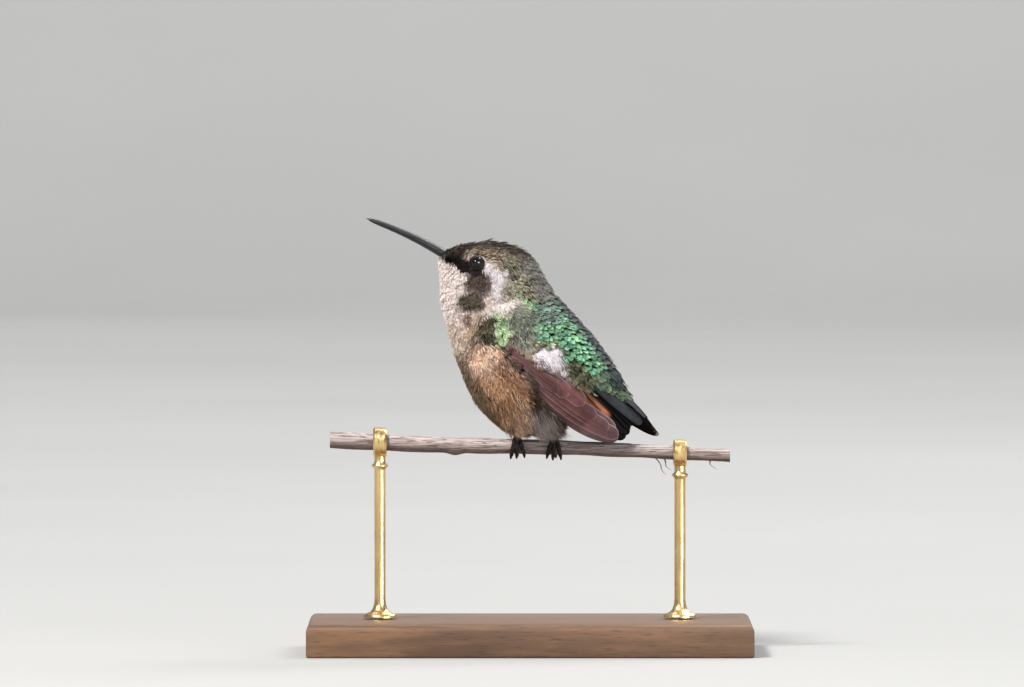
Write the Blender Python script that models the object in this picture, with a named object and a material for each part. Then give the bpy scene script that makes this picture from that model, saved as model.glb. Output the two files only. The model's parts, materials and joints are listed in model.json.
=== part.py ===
# A still model of a small woodstar hummingbird, gripping a cut twig on a plain display stand.
# The bird faces -X with its left side towards -Y, and +Z is up. The origin is the middle of
# the underside of the stand's base. Sizes below are in millimetres; meshes are in metres.

import math

import bmesh
import bpy
from mathutils import Matrix, Vector

MM = 0.001

GAP = 0.3                  # air between two solids that meet
GRIP_GAP = 0.15            # air between a toe and the twig

TWIG_HEIGHT = 37.0         # twig's middle above the floor, where the feet stand
TWIG_SLOPE = math.radians(-2.1)
TWIG_HALF_LENGTH = 36.0
TWIG_RADIUS_THICK = 1.5    # at the bill's end
TWIG_RADIUS_THIN = 1.12    # at the tail's end
TWIG_KNOB_X = -13.5        # a dormant bud under the twig

BASE_LENGTH = 80.0
BASE_WIDTH = 42.0
BASE_HEIGHT = 6.0
BASE_CORNER = 9.0
BASE_BEVEL = 1.4
ROD_RADIUS = 1.0
ROD_FOOT_RADIUS = 3.0
ROD_PLACES = {"stand_rod_front": -27.0, "stand_rod_back": 27.0}
COLLAR_WALL = 0.9
COLLAR_WIDTH = 2.4

BILL_BASE = (-16.1, 71.85)   # middle of the bill where it leaves the face
BILL_LENGTH = 14.5
BILL_PITCH = (math.radians(31.0), math.radians(21.0))  # at the face and at the tip
BILL_SEAM = 0.12             # slit between the two halves of the bill
BILL_POINT = 0.80            # share of the length where the point begins
UPPER_BILL_DEPTH = (0.90, 0.46)
LOWER_BILL_DEPTH = (0.60, 0.38)
BILL_HALF_WIDTH = (0.82, 0.42)
LOWER_BILL_REACH = 0.965

EYE_RADIUS = 1.35
EYE_PLACE = (-9.54, 4.05, 70.2)

# Each station of the body is a flat oval: its top point on the back, its bottom point on
# the underside, and its half width across. Points are (x, z).
BODY = (
    ("bill root", (-15.5, 72.2), (-16.6, 70.9), 1.25),
    ("forehead", (-13.3, 73.0), (-16.4, 69.2), 2.8),
    ("face", (-10.4, 73.7), (-16.2, 66.9), 4.0),
    ("crown", (-6.8, 73.9), (-16.3, 64.4), 5.0),
    ("cheek", (-2.7, 73.2), (-16.1, 62.0), 5.6),
    ("hind crown", (0.5, 71.2), (-15.4, 59.7), 5.9),
    ("nape", (2.7, 67.8), (-14.7, 57.2), 6.3),
    ("shoulder", (4.7, 64.6), (-14.0, 54.5), 7.4),
    ("mantle", (7.6, 61.4), (-13.0, 51.8), 8.6),
    ("breast", (10.8, 57.9), (-11.7, 48.3), 9.1),
    ("belly", (13.5, 54.6), (-10.1, 45.1), 8.9),
    ("flank", (15.5, 51.6), (-7.6, 42.0), 8.0),
    ("rump", (16.9, 49.1), (-4.1, 39.4), 6.7),
    ("vent", (17.8, 47.3), (0.9, 38.95), 5.3),
    ("tail cover", (18.5, 45.9), (7.0, 40.9), 3.8),
    ("last plume", (18.7, 44.9), (11.2, 41.4), 2.2),
)
HEAD_END = 5.0             # station numbers where one solid gives way to the next
NECK_END = 7.0
JOINT_STEP = 0.055         # half of the gap between them, in stations
BODY_SQUARENESS = 2.1      # 2 is an ellipse, more is squarer
BODY_SIDES = 26
SHOULDER_BIAS = 0.06       # how much wider the oval is towards the back

# Folded wing: its middle line (x, z), and how far it reaches above and below that line.
WING = (
    ((-9.2, 57.3), 2.2, 1.6),
    ((-4.6, 54.4), 3.5, 2.6),
    ((1.8, 49.4), 2.9, 3.1),
    ((8.1, 44.6), 2.9, 3.8),
    ((12.6, 41.1), 2.5, 2.9),
    ((16.2, 38.8), 1.7, 1.3),
)
WING_PLANE = (6.3, 4.5)    # least distance of the wing from the middle, at wrist and tip
WING_AIR = 0.55            # air between the coat and the wing that lies on it
WING_THICK = (1.5, 0.6)

# Tail fan, from the bird's left edge through the middle to its right edge: (x, y, z).
TAIL_ROOT = ((9.6, -3.1, 46.6), (12.4, 0.0, 47.4), (12.4, 3.1, 46.4))
TAIL_TIP = ((18.6, -3.4, 38.9), (21.0, 0.0, 42.2), (23.3, 3.6, 39.0))
TAIL_THICK = 0.6

# Legs: where the shank starts inside the coat, and where the foot stands along the twig.
LEGS = {
    "leg_left": {"ankle": (5.4, -1.9, 43.0), "foot_x": 4.5},
    "leg_right": {"ankle": (-1.7, 1.9, 43.2), "foot_x": -2.4},
}
SHANK_RADIUS = 0.42
TOE_RADIUS = 0.34
CLAW_RADIUS = 0.25
FRONT_TOE_SPREAD = (-1.35, -0.05, 1.25)
FRONT_TOE_WRAP = math.radians(146.0)
HIND_TOE_WRAP = math.radians(124.0)
CLAW_DROP = 0.5            # how far a claw's tip stands off the twig

COLOURS = {                # name: (colour, roughness, metallic)
    "crown": ((0.16, 0.12, 0.10), 0.7, 0.0),
    "collar": ((0.62, 0.52, 0.46), 0.8, 0.0),
    "mantle": ((0.10, 0.30, 0.15), 0.45, 0.4),
    "wing": ((0.17, 0.09, 0.09), 0.6, 0.0),
    "tail": ((0.06, 0.06, 0.07), 0.55, 0.0),
    "horn": ((0.02, 0.02, 0.025), 0.3, 0.0),
    "eye": ((0.01, 0.008, 0.008), 0.05, 0.0),
    "foot": ((0.03, 0.022, 0.02), 0.6, 0.0),
    "bark": ((0.50, 0.41, 0.36), 0.9, 0.0),
    "walnut": ((0.16, 0.08, 0.04), 0.45, 0.0),
    "brass": ((0.70, 0.52, 0.24), 0.3, 1.0),
}


# ---- helpers ----

def clear_scene():
    for obj in list(bpy.data.objects):
        bpy.data.objects.remove(obj, do_unlink=True)


def material(name):
    found = bpy.data.materials.get(name)
    if found:
        return found
    colour, roughness, metallic = COLOURS[name]
    made = bpy.data.materials.new(name)
    made.use_nodes = True
    shader = made.node_tree.nodes["Principled BSDF"]
    shader.inputs["Base Color"].default_value = (*colour, 1.0)
    shader.inputs["Roughness"].default_value = roughness
    shader.inputs["Metallic"].default_value = metallic
    return made


def add_object(name, bm, material_name, smooth_angle=40.0):
    bmesh.ops.recalc_face_normals(bm, faces=bm.faces)
    bmesh.ops.scale(bm, vec=(MM, MM, MM), verts=bm.verts)
    mesh = bpy.data.meshes.new(name)
    bm.to_mesh(mesh)
    bm.free()
    mesh.materials.append(material(material_name))
    mesh.shade_smooth()
    mesh.set_sharp_from_angle(angle=math.radians(smooth_angle))
    obj = bpy.data.objects.new(name, mesh)
    bpy.context.collection.objects.link(obj)
    return obj


def combine(target, tool, operation):
    # Joins or cuts target with tool, which stays as a hidden guide.
    tool.hide_render = True
    tool.display_type = "WIRE"
    modifier = target.modifiers.new(operation.lower() + "_" + tool.name, "BOOLEAN")
    modifier.operation = operation
    modifier.object = tool


def lerp(a, b, share):
    return a + (b - a) * share


def catmull(values, place):
    # Smooth curve through a list of numbers or vectors, at a fractional index.
    last = len(values) - 1
    left = min(int(place), last - 1)
    share = place - left
    before = values[max(left - 1, 0)]
    start = values[left]
    end = values[left + 1]
    after = values[min(left + 2, last)]
    rise_in = (end - before) * 0.5
    rise_out = (after - start) * 0.5
    square = share * share
    cube = square * share
    return (start * (2 * cube - 3 * square + 1) + rise_in * (cube - 2 * square + share)
            + end * (3 * square - 2 * cube) + rise_out * (cube - square))


def signed_power(value, power):
    return math.copysign(abs(value) ** power, value)


def loft(rings):
    # A closed solid through rings of equal size, with flat ends.
    bm = bmesh.new()
    rows = [[bm.verts.new(point) for point in ring] for ring in rings]
    sides = len(rows[0])
    for row, following in zip(rows, rows[1:]):
        for i in range(sides):
            j = (i + 1) % sides
            bm.faces.new((row[i], row[j], following[j], following[i]))
    bm.faces.new(rows[0])
    bm.faces.new(rows[-1])
    bmesh.ops.triangulate(bm, faces=[f for f in bm.faces if len(f.verts) > 4])
    return bm


def plate(inner, outer):
    # A closed thin solid between two grids of points.
    bm = bmesh.new()
    low = [[bm.verts.new(point) for point in row] for row in inner]
    high = [[bm.verts.new(point) for point in row] for row in outer]
    rows = len(low)
    columns = len(low[0])
    for i in range(rows - 1):
        for j in range(columns - 1):
            bm.faces.new((low[i][j], low[i][j + 1], low[i + 1][j + 1], low[i + 1][j]))
            bm.faces.new((high[i][j], high[i + 1][j], high[i + 1][j + 1], high[i][j + 1]))
    rim = [(i, 0) for i in range(rows)]
    rim += [(rows - 1, j) for j in range(1, columns)]
    rim += [(i, columns - 1) for i in range(rows - 2, -1, -1)]
    rim += [(0, j) for j in range(columns - 2, 0, -1)]
    for (i, j), (k, m) in zip(rim, rim[1:] + rim[:1]):
        bm.faces.new((low[i][j], low[k][m], high[k][m], high[i][j]))
    return bm


def tube(path, radii, sides):
    # A closed round tube along a path of points, with a radius at each.
    rings = []
    guide = Vector((0.31, 0.17, 0.93))
    for i, point in enumerate(path):
        ahead = path[min(i + 1, len(path) - 1)] - path[max(i - 1, 0)]
        along = ahead.normalized()
        side = along.cross(guide).normalized()
        guide = side.cross(along).normalized()
        ring = []
        for k in range(sides):
            turn = 2 * math.pi * k / sides
            ring.append(point + (side * math.cos(turn) + guide * math.sin(turn)) * radii[i])
        rings.append(ring)
    return loft(rings)


# ---- body ----

def body_station(place):
    # Back point, underside point and half width at a fractional station.
    back = catmull([Vector(row[1]) for row in BODY], place)
    front = catmull([Vector(row[2]) for row in BODY], place)
    width = catmull([row[3] for row in BODY], place)
    return back, front, width


def body_ring(place, shrink=0.0):
    back, front, width = body_station(place)
    middle = (back + front) / 2
    reach = (back - front) / 2
    reach = reach * (1 - shrink / reach.length)
    ring = []
    for k in range(BODY_SIDES):
        turn = 2 * math.pi * k / BODY_SIDES
        up = signed_power(math.cos(turn), 2 / BODY_SQUARENESS)
        across = signed_power(math.sin(turn), 2 / BODY_SQUARENESS)
        y = across * (width - shrink) * (1 + SHOULDER_BIAS * up)
        spot = middle + reach * up
        ring.append(Vector((spot.x, y, spot.y)))
    return ring


def body_half_width(x, z):
    # Distance of the coat's surface from the middle plane, seen from the side, or 0 outside.
    spot = Vector((x, z))
    low = 0.0
    high = len(BODY) - 1.0
    for _ in range(24):
        place = (low + high) / 2
        back, front, width = body_station(place)
        line = back - front
        offset = spot - front
        if line.x * offset.y - line.y * offset.x > 0:
            high = place
        else:
            low = place
    up = 2 * offset.dot(line) / line.length_squared - 1
    if abs(up) >= 1 or place < 0.01 or place > len(BODY) - 1.01:
        return 0.0
    across = (1 - abs(up) ** BODY_SQUARENESS) ** (1 / BODY_SQUARENESS)
    return across * width * (1 + SHOULDER_BIAS * up)


def body_part(name, start, end, rings, material_name):
    places = [lerp(start, end, i / (rings - 1)) for i in range(rings)]
    return add_object(name, loft([body_ring(place) for place in places]), material_name)


def ball(centre, radius, rings, sides):
    bm = bmesh.new()
    bmesh.ops.create_uvsphere(bm, u_segments=sides, v_segments=rings, radius=radius)
    quarter = Matrix.Rotation(math.pi / 2, 3, "X")
    bmesh.ops.rotate(bm, cent=(0, 0, 0), matrix=quarter, verts=bm.verts)
    bmesh.ops.translate(bm, vec=centre, verts=bm.verts)
    return bm


def make_head():
    head = body_part("head", 0.0, HEAD_END - JOINT_STEP, 15, "crown")
    for side, name in ((-1, "left"), (1, "right")):
        centre = Vector((EYE_PLACE[0], side * EYE_PLACE[1], EYE_PLACE[2]))
        add_object("eye_" + name, ball(centre, EYE_RADIUS, 9, 14), "eye", 80.0)
        socket = add_object("socket_" + name, ball(centre, EYE_RADIUS + GAP, 8, 12), "eye")
        combine(head, socket, "DIFFERENCE")


def make_neck():
    body_part("neck", HEAD_END + JOINT_STEP, NECK_END - JOINT_STEP, 7, "collar")


def make_trunk():
    trunk = body_part("trunk", NECK_END + JOINT_STEP, len(BODY) - 1.0, 21, "mantle")
    slit = add_object("tail_slit", tail_fan(TAIL_THICK + 2 * GAP, GAP), "tail")
    combine(trunk, slit, "DIFFERENCE")
    for name, leg in LEGS.items():
        path = shank_path(leg)
        path[0] += (path[0] - path[-1]).normalized() * GAP
        radii = [SHANK_RADIUS + GAP] * len(path)
        pocket = add_object("pocket_" + name, tube(path, radii, 10), "foot")
        combine(trunk, pocket, "DIFFERENCE")


# ---- bill ----

def bill_half(depths, sign, reach):
    # One half of the bill: a D-shaped section that tapers to the tip, flat along the seam.
    steps = 12
    step = BILL_LENGTH / steps * reach
    middle = Vector((BILL_BASE[0], 0, BILL_BASE[1]))
    rings = []
    for i in range(steps + 1):
        share = i / steps * reach
        pitch = lerp(BILL_PITCH[0], BILL_PITCH[1], share)
        along = Vector((-math.cos(pitch), 0, math.sin(pitch)))
        up = Vector((math.sin(pitch), 0, math.cos(pitch)))
        middle = middle + along * (step if i else GAP)
        point = max(0.0, (share - BILL_POINT) / (1.04 - BILL_POINT))
        taper = math.sqrt(1 - point * point)
        depth = lerp(depths[0], depths[1], share ** 0.7) * taper
        width = lerp(BILL_HALF_WIDTH[0], BILL_HALF_WIDTH[1], share ** 0.7) * taper
        ring = []
        for k in range(8):
            turn = math.pi * k / 7
            rise = up * (sign * (BILL_SEAM / 2 + depth * math.sin(turn)))
            ring.append(middle + rise + Vector((0, width * math.cos(turn), 0)))
        rings.append(ring)
    return loft(rings)


def make_bill():
    add_object("bill_upper", bill_half(UPPER_BILL_DEPTH, 1, 1.0), "horn", 60.0)
    add_object("bill_lower", bill_half(LOWER_BILL_DEPTH, -1, LOWER_BILL_REACH), "horn", 60.0)


# ---- wings ----

def wing_line(share):
    middle = catmull([Vector(row[0]) for row in WING], share * (len(WING) - 1))
    above = catmull([row[1] for row in WING], share * (len(WING) - 1))
    below = catmull([row[2] for row in WING], share * (len(WING) - 1))
    return middle, above, below


def end_rounding(share, length):
    # 1 along the wing, falling to a small blunt value at both ends like a circle's edge.
    near_end = min(share, 1 - share) / length
    if near_end >= 1:
        return 1.0
    return max(0.22, math.sqrt(1 - (1 - near_end) ** 2))


def wing_plate(side):
    inner = []
    outer = []
    rows = 23
    columns = 8
    for i in range(rows):
        share = i / (rows - 1)
        middle, above, below = wing_line(share)
        before = wing_line(max(share - 0.02, 0))[0]
        after = wing_line(min(share + 0.02, 1))[0]
        along = (after - before).normalized()
        across = Vector((-along.y, along.x))
        rounding = end_rounding(share, 0.12)
        inner_row = []
        outer_row = []
        for j in range(columns):
            part = j / (columns - 1)
            spot = middle + across * lerp(-below, above, part) * rounding
            least = lerp(WING_PLANE[0], WING_PLANE[1], share)
            coat = body_half_width(spot.x, spot.y) + WING_AIR
            inside = (coat ** 8 + least ** 8) ** 0.125
            crown = 0.45 + 0.55 * math.sin(math.pi * part)
            thick = 0.5 + (lerp(WING_THICK[0], WING_THICK[1], share) - 0.5) * crown
            inner_row.append(Vector((spot.x, side * inside, spot.y)))
            outer_row.append(Vector((spot.x, side * (inside + thick), spot.y)))
        inner.append(inner_row)
        outer.append(outer_row)
    return plate(inner, outer)


def make_wings():
    add_object("wing_left", wing_plate(-1), "wing")
    add_object("wing_right", wing_plate(1), "wing")


# ---- tail ----

def through_three(points, share):
    # The parabola through three points, at share -1, 0 and 1.
    left, middle, right = (Vector(point) for point in points)
    slope = (right - left) / 2
    bend = (right + left) / 2 - middle
    return middle + slope * share + bend * share * share


def tail_fan(thick, margin):
    # Arched fan; margin makes it wider and longer all round, for the slit in the coat.
    below = []
    above = []
    rows = 13
    columns = 13
    for i in range(rows):
        along_share = i / (rows - 1)
        low_row = []
        high_row = []
        for j in range(columns):
            share = lerp(-1, 1, j / (columns - 1)) * (1 + margin / 2.2)
            root = through_three(TAIL_ROOT, share)
            tip = through_three(TAIL_TIP, share)
            feather = tip - root
            scallop = 0.5 * abs(math.sin(share * math.pi * 2.5)) if margin == 0 else 0.0
            reach = (feather.length - scallop) / feather.length
            spot = root.lerp(root + feather * reach, along_share)
            spot += feather.normalized() * lerp(-margin, margin, along_share)
            slope = through_three(TAIL_TIP, share + 0.1) - through_three(TAIL_TIP, share - 0.1)
            up = feather.cross(slope).normalized()
            up = up if up.z > 0 else -up
            low_row.append(spot - up * thick / 2)
            high_row.append(spot + up * thick / 2)
        below.append(low_row)
        above.append(high_row)
    return plate(below, above)


def make_tail():
    add_object("tail", tail_fan(TAIL_THICK, 0.0), "tail")


# ---- twig and legs ----

def twig_middle(x):
    sway = 0.15 * math.sin(x * 0.11 + 0.6) - 0.15 * math.sin(0.6)
    side = 0.3 * math.sin(x * 0.07 + 1.0) - 0.3 * math.sin(1.0)
    return Vector((x, side, TWIG_HEIGHT + math.tan(TWIG_SLOPE) * x + sway))


def twig_radius(x):
    share = (x + TWIG_HALF_LENGTH) / (2 * TWIG_HALF_LENGTH)
    swell = 0.05 * math.sin(x * 0.55)
    return lerp(TWIG_RADIUS_THICK, TWIG_RADIUS_THIN, share) + swell


def make_twig():
    rings = []
    sides = 14
    rows = 29
    for i in range(rows):
        x = lerp(-TWIG_HALF_LENGTH, TWIG_HALF_LENGTH, i / (rows - 1))
        middle = twig_middle(x)
        radius = twig_radius(x)
        ring = []
        for k in range(sides):
            turn = 2 * math.pi * k / sides
            knob = 0.45 * math.exp(-((x - TWIG_KNOB_X) / 1.1) ** 2)
            knob *= max(0.0, -math.sin(turn)) ** 6
            reach = radius * (1 + 0.03 * math.cos(3 * turn + 0.1 * x)) + knob
            ring.append(middle + Vector((0, math.cos(turn) * reach, math.sin(turn) * reach)))
        rings.append(ring)
    add_object("perch_twig", loft(rings), "bark", 50.0)


def foot_joint(leg):
    x = leg["foot_x"]
    middle = twig_middle(x)
    lift = twig_radius(x) * 1.03 + GRIP_GAP + TOE_RADIUS
    return middle + Vector((0, 0, lift))


def shank_path(leg):
    ankle = Vector(leg["ankle"])
    joint = foot_joint(leg)
    bow = Vector((0.25, 0, 0))
    return [ankle.lerp(joint, i / 5) + bow * math.sin(math.pi * i / 5) for i in range(6)]


def toe(leg, spread, wrap, side):
    # A toe that wraps round the twig from the foot's joint, ending in a claw.
    start = foot_joint(leg)
    path = []
    radii = []
    steps = 10
    for i in range(steps):
        share = i / (steps - 1)
        x = start.x + spread * math.sin(share * math.pi / 2)
        middle = twig_middle(x)
        turn = wrap * share
        claw = max(0.0, (share - 0.72) / 0.28)
        radius = lerp(TOE_RADIUS * (1 - 0.12 * share), CLAW_RADIUS, claw)
        reach = twig_radius(x) * 1.03 + GRIP_GAP + TOE_RADIUS + CLAW_DROP * claw
        path.append(middle + Vector((0, side * math.sin(turn), math.cos(turn))) * reach)
        path[-1].x = x
        radii.append(radius)
    return tube(path, radii, 6)


def make_legs():
    for name, leg in LEGS.items():
        path = shank_path(leg)
        radii = [SHANK_RADIUS] * len(path)
        shank = add_object(name, tube(path, radii, 7), "foot", 60.0)
        knuckle = ball(foot_joint(leg), TOE_RADIUS + 0.14, 6, 8)
        combine(shank, add_object("knuckle_" + name, knuckle, "foot"), "UNION")
        for number, spread in enumerate(FRONT_TOE_SPREAD, 1):
            front = toe(leg, spread, FRONT_TOE_WRAP, -1)
            combine(shank, add_object("toe%d_%s" % (number, name), front, "foot"), "UNION")
        hind = toe(leg, 0.35, HIND_TOE_WRAP, 1)
        combine(shank, add_object("hind_toe_" + name, hind, "foot"), "UNION")


# ---- stand ----

def make_base():
    bm = bmesh.new()
    outline = []
    for corner, (sx, sy) in enumerate(((1, 1), (-1, 1), (-1, -1), (1, -1))):
        for k in range(9):
            turn = math.pi / 2 * (corner + k / 8)
            x = sx * (BASE_LENGTH / 2 - BASE_CORNER) + BASE_CORNER * math.cos(turn)
            y = sy * (BASE_WIDTH / 2 - BASE_CORNER) + BASE_CORNER * math.sin(turn)
            outline.append(bm.verts.new((x, y, 0)))
    floor = bm.faces.new(outline)
    raised = bmesh.ops.extrude_face_region(bm, geom=[floor])["geom"]
    top = [item for item in raised if isinstance(item, bmesh.types.BMVert)]
    bmesh.ops.translate(bm, vec=(0, 0, BASE_HEIGHT), verts=top)
    edges = [e for e in bm.edges if all(v.co.z > BASE_HEIGHT / 2 for v in e.verts)]
    bmesh.ops.bevel(bm, geom=edges, offset=BASE_BEVEL, segments=3, profile=0.5, affect="EDGES")
    add_object("stand_base", bm, "walnut", 35.0)


def turned(profile, sides, centre):
    # A solid of revolution about the vertical, from (radius, height) pairs, bottom to top.
    rings = []
    for radius, height in profile:
        ring = []
        for k in range(sides):
            turn = 2 * math.pi * k / sides
            offset = Vector((radius * math.cos(turn), radius * math.sin(turn), height))
            ring.append(centre + offset)
        rings.append(ring)
    return loft(rings)


def collar(x):
    # A band round the twig, square to it, with rounded rims.
    bm = bmesh.new()
    middle = twig_middle(x)
    inside = twig_radius(x) * 1.05 + GAP
    sides = 18
    lip = 0.25
    half = COLLAR_WIDTH / 2
    section = ((inside, -half), (inside + COLLAR_WALL - lip, -half),
               (inside + COLLAR_WALL, -half + lip), (inside + COLLAR_WALL, half - lip),
               (inside + COLLAR_WALL - lip, half), (inside, half))
    rings = []
    for k in range(sides):
        turn = 2 * math.pi * k / sides
        ring = []
        for radius, across in section:
            spot = Vector((across, radius * math.cos(turn), radius * math.sin(turn)))
            spot.z += across * math.tan(TWIG_SLOPE)
            ring.append(bm.verts.new(middle + spot))
        rings.append(ring)
    for ring, following in zip(rings, rings[1:] + rings[:1]):
        for i in range(len(section)):
            j = (i + 1) % len(section)
            bm.faces.new((ring[i], ring[j], following[j], following[i]))
    return bm


def make_rods():
    for name, x in ROD_PLACES.items():
        middle = twig_middle(x)
        inside = twig_radius(x) * 1.05 + GAP
        start = BASE_HEIGHT + GAP
        top = middle.z - inside - COLLAR_WALL * 0.45
        profile = [(ROD_FOOT_RADIUS, start), (ROD_FOOT_RADIUS, start + 0.7)]
        for k in range(5):
            turn = math.pi / 2 * k / 4
            radius = ROD_FOOT_RADIUS - 0.3 - (ROD_FOOT_RADIUS - 0.3 - ROD_RADIUS) * math.sin(turn)
            profile.append((radius, start + 2.6 - 1.7 * math.cos(turn)))
        profile.append((ROD_RADIUS, top))
        rod = add_object(name, turned(profile, 16, Vector((x, middle.y, 0))), "brass")
        band = add_object("band_" + name, collar(x), "brass")
        combine(rod, band, "UNION")


clear_scene()
make_head()
make_neck()
make_trunk()
make_bill()
make_wings()
make_tail()
make_twig()
make_legs()
make_base()
make_rods()
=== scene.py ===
import itertools
import json
import math

import bmesh
import bpy
import numpy as np
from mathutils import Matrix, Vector, noise
from mathutils.bvhtree import BVHTree

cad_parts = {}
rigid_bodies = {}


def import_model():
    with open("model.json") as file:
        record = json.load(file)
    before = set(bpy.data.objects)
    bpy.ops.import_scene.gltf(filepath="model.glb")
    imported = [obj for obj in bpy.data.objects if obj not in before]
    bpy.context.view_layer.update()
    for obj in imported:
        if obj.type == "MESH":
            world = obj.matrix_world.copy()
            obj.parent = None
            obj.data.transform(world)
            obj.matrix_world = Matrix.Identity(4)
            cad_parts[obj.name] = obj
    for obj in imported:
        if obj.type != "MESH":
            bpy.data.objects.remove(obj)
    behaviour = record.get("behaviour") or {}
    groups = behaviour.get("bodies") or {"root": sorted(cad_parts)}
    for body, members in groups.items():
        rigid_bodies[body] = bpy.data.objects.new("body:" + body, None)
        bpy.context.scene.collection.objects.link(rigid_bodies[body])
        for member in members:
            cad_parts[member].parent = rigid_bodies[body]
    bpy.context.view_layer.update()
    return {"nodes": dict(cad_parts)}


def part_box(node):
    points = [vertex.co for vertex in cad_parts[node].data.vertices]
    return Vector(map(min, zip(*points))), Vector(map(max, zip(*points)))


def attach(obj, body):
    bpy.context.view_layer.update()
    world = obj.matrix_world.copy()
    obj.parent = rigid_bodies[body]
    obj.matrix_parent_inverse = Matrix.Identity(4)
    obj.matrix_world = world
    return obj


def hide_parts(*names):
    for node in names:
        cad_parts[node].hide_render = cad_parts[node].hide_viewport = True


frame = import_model()

# The bird faces -X with its left side towards -Y. Sizes below are in millimetres unless a
# note says otherwise, and mm turns them into metres.
mm = 0.001
bothSides = (("left", -1), ("right", 1))


def lerp(a, b, share):
    return a + (b - a) * share


def blend(first, second, share):
    return first * (1 - share) + second * share


def linear(hexColour):
    # a screen colour such as "a2918a" as linear red, green and blue
    values = [int(hexColour[i:i + 2], 16) / 255 for i in (0, 2, 4)]
    return np.array([((v + 0.055) / 1.055) ** 2.4 if v > 0.04045 else v / 12.92 for v in values])


def smoothStep(low, high, value):
    share = np.clip((value - low) / (high - low), 0.0, 1.0)
    return share * share * (3 - 2 * share)


def catmull(points, place):
    # smooth curve through a list of points, at a fractional index
    points = np.asarray(points, float)
    last = len(points) - 1
    left = min(int(place), last - 1)
    t = place - left
    before, start = points[max(left - 1, 0)], points[left]
    end, after = points[left + 1], points[min(left + 2, last)]
    riseIn = (end - before) / 2
    riseOut = (after - start) / 2
    return (start * (2 * t ** 3 - 3 * t ** 2 + 1) + riseIn * (t ** 3 - 2 * t ** 2 + t)
            + end * (3 * t ** 2 - 2 * t ** 3) + riseOut * (t ** 3 - t ** 2))


def unit(vectors):
    return vectors / np.maximum(np.linalg.norm(vectors, axis=-1, keepdims=True), 1e-12)


def toLeft(points):
    # places on the bird's right side are mirrored to its left side
    return points * np.where(points[..., 1:2] > 0, (1, -1, 1), (1, 1, 1))


def turns(count):
    # evenly spaced angles round a circle
    return [2 * math.pi * j / count for j in range(count)]


def deselectAll():
    for item in bpy.context.view_layer.objects:
        item.select_set(False)


def faceOutwards(piece, merge=False):
    deselectAll()
    piece.select_set(True)
    bpy.context.view_layer.objects.active = piece
    bpy.ops.object.mode_set(mode="EDIT")
    bpy.ops.mesh.select_all(action="SELECT")
    if merge:
        bpy.ops.mesh.remove_doubles(threshold=0.000001)
    bpy.ops.mesh.normals_make_consistent(inside=False)
    bpy.ops.object.mode_set(mode="OBJECT")


def addObject(name, data):
    made = bpy.data.objects.new(name, data)
    bpy.context.collection.objects.link(made)
    return made


def makeMesh(name, points, faces):
    # an object from arrays of points in metres and of faces
    mesh = bpy.data.meshes.new(name)
    points = np.ascontiguousarray(points, dtype=np.float32)
    faces = np.ascontiguousarray(faces, dtype=np.int32)
    mesh.vertices.add(len(points))
    mesh.vertices.foreach_set("co", points.ravel())
    mesh.loops.add(faces.size)
    mesh.loops.foreach_set("vertex_index", faces.ravel())
    mesh.polygons.add(len(faces))
    starts = np.arange(0, faces.size, faces.shape[1], dtype=np.int32)
    mesh.polygons.foreach_set("loop_start", starts)
    mesh.update(calc_edges=True)
    mesh.validate()
    mesh.shade_smooth()
    return addObject(name, mesh)


def repeatFaces(faces, count, size):
    # the faces of one feather, repeated for count feathers of size points each
    return (faces[None] + (np.arange(count) * size)[:, None, None]).reshape(-1, 3)


def ringFaces(levels, columns):
    # quads between the neighbouring rings of a tube
    index = np.arange(levels * columns).reshape(levels, columns)
    beside = np.roll(index, -1, 1)
    return np.stack([index[:-1], beside[:-1], beside[1:], index[1:]], -1).reshape(-1, 4)


def cornerVertices(mesh):
    corners = np.empty(len(mesh.loops), dtype=np.int32)
    mesh.loops.foreach_get("vertex_index", corners)
    return corners


def addUv(piece, name, uv):
    # uv has a row for each vertex, or for each corner of the faces
    uv = np.asarray(uv, dtype=np.float32)
    if len(uv) == len(piece.data.vertices):
        uv = uv[cornerVertices(piece.data)]
    piece.data.uv_layers.new(name=name).data.foreach_set("uv", uv.ravel())


def addColour(piece, name, vertexColour):
    layer = piece.data.attributes.new(name, "FLOAT_COLOR", "POINT")
    full = np.ones((len(vertexColour), 4), dtype=np.float32)
    full[:, :3] = vertexColour
    layer.data.foreach_set("color", full.ravel())


def addValue(piece, name, vertexValue):
    layer = piece.data.attributes.new(name, "FLOAT", "POINT")
    layer.data.foreach_set("value", np.asarray(vertexValue, dtype=np.float32))


def finishPiece(piece, material, replaces=()):
    piece.data.materials.clear()
    piece.data.materials.append(material)
    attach(piece, "root")
    if replaces:
        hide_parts(*replaces)
    return piece


def sampleGrid(grid, row, column):
    # value of a grid at fractional rows and columns; columns wrap round the body
    rows, columns = grid.shape[:2]
    row = np.clip(row, 0, rows - 1.001)
    column = column % columns
    low = row.astype(int)
    left = column.astype(int) % columns
    right = (left + 1) % columns
    up = (row - low)[..., None]
    across = (column - np.floor(column))[..., None]
    near = grid[low, left] * (1 - across) + grid[low, right] * across
    far = grid[low + 1, left] * (1 - across) + grid[low + 1, right] * across
    return near * (1 - up) + far * up


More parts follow.
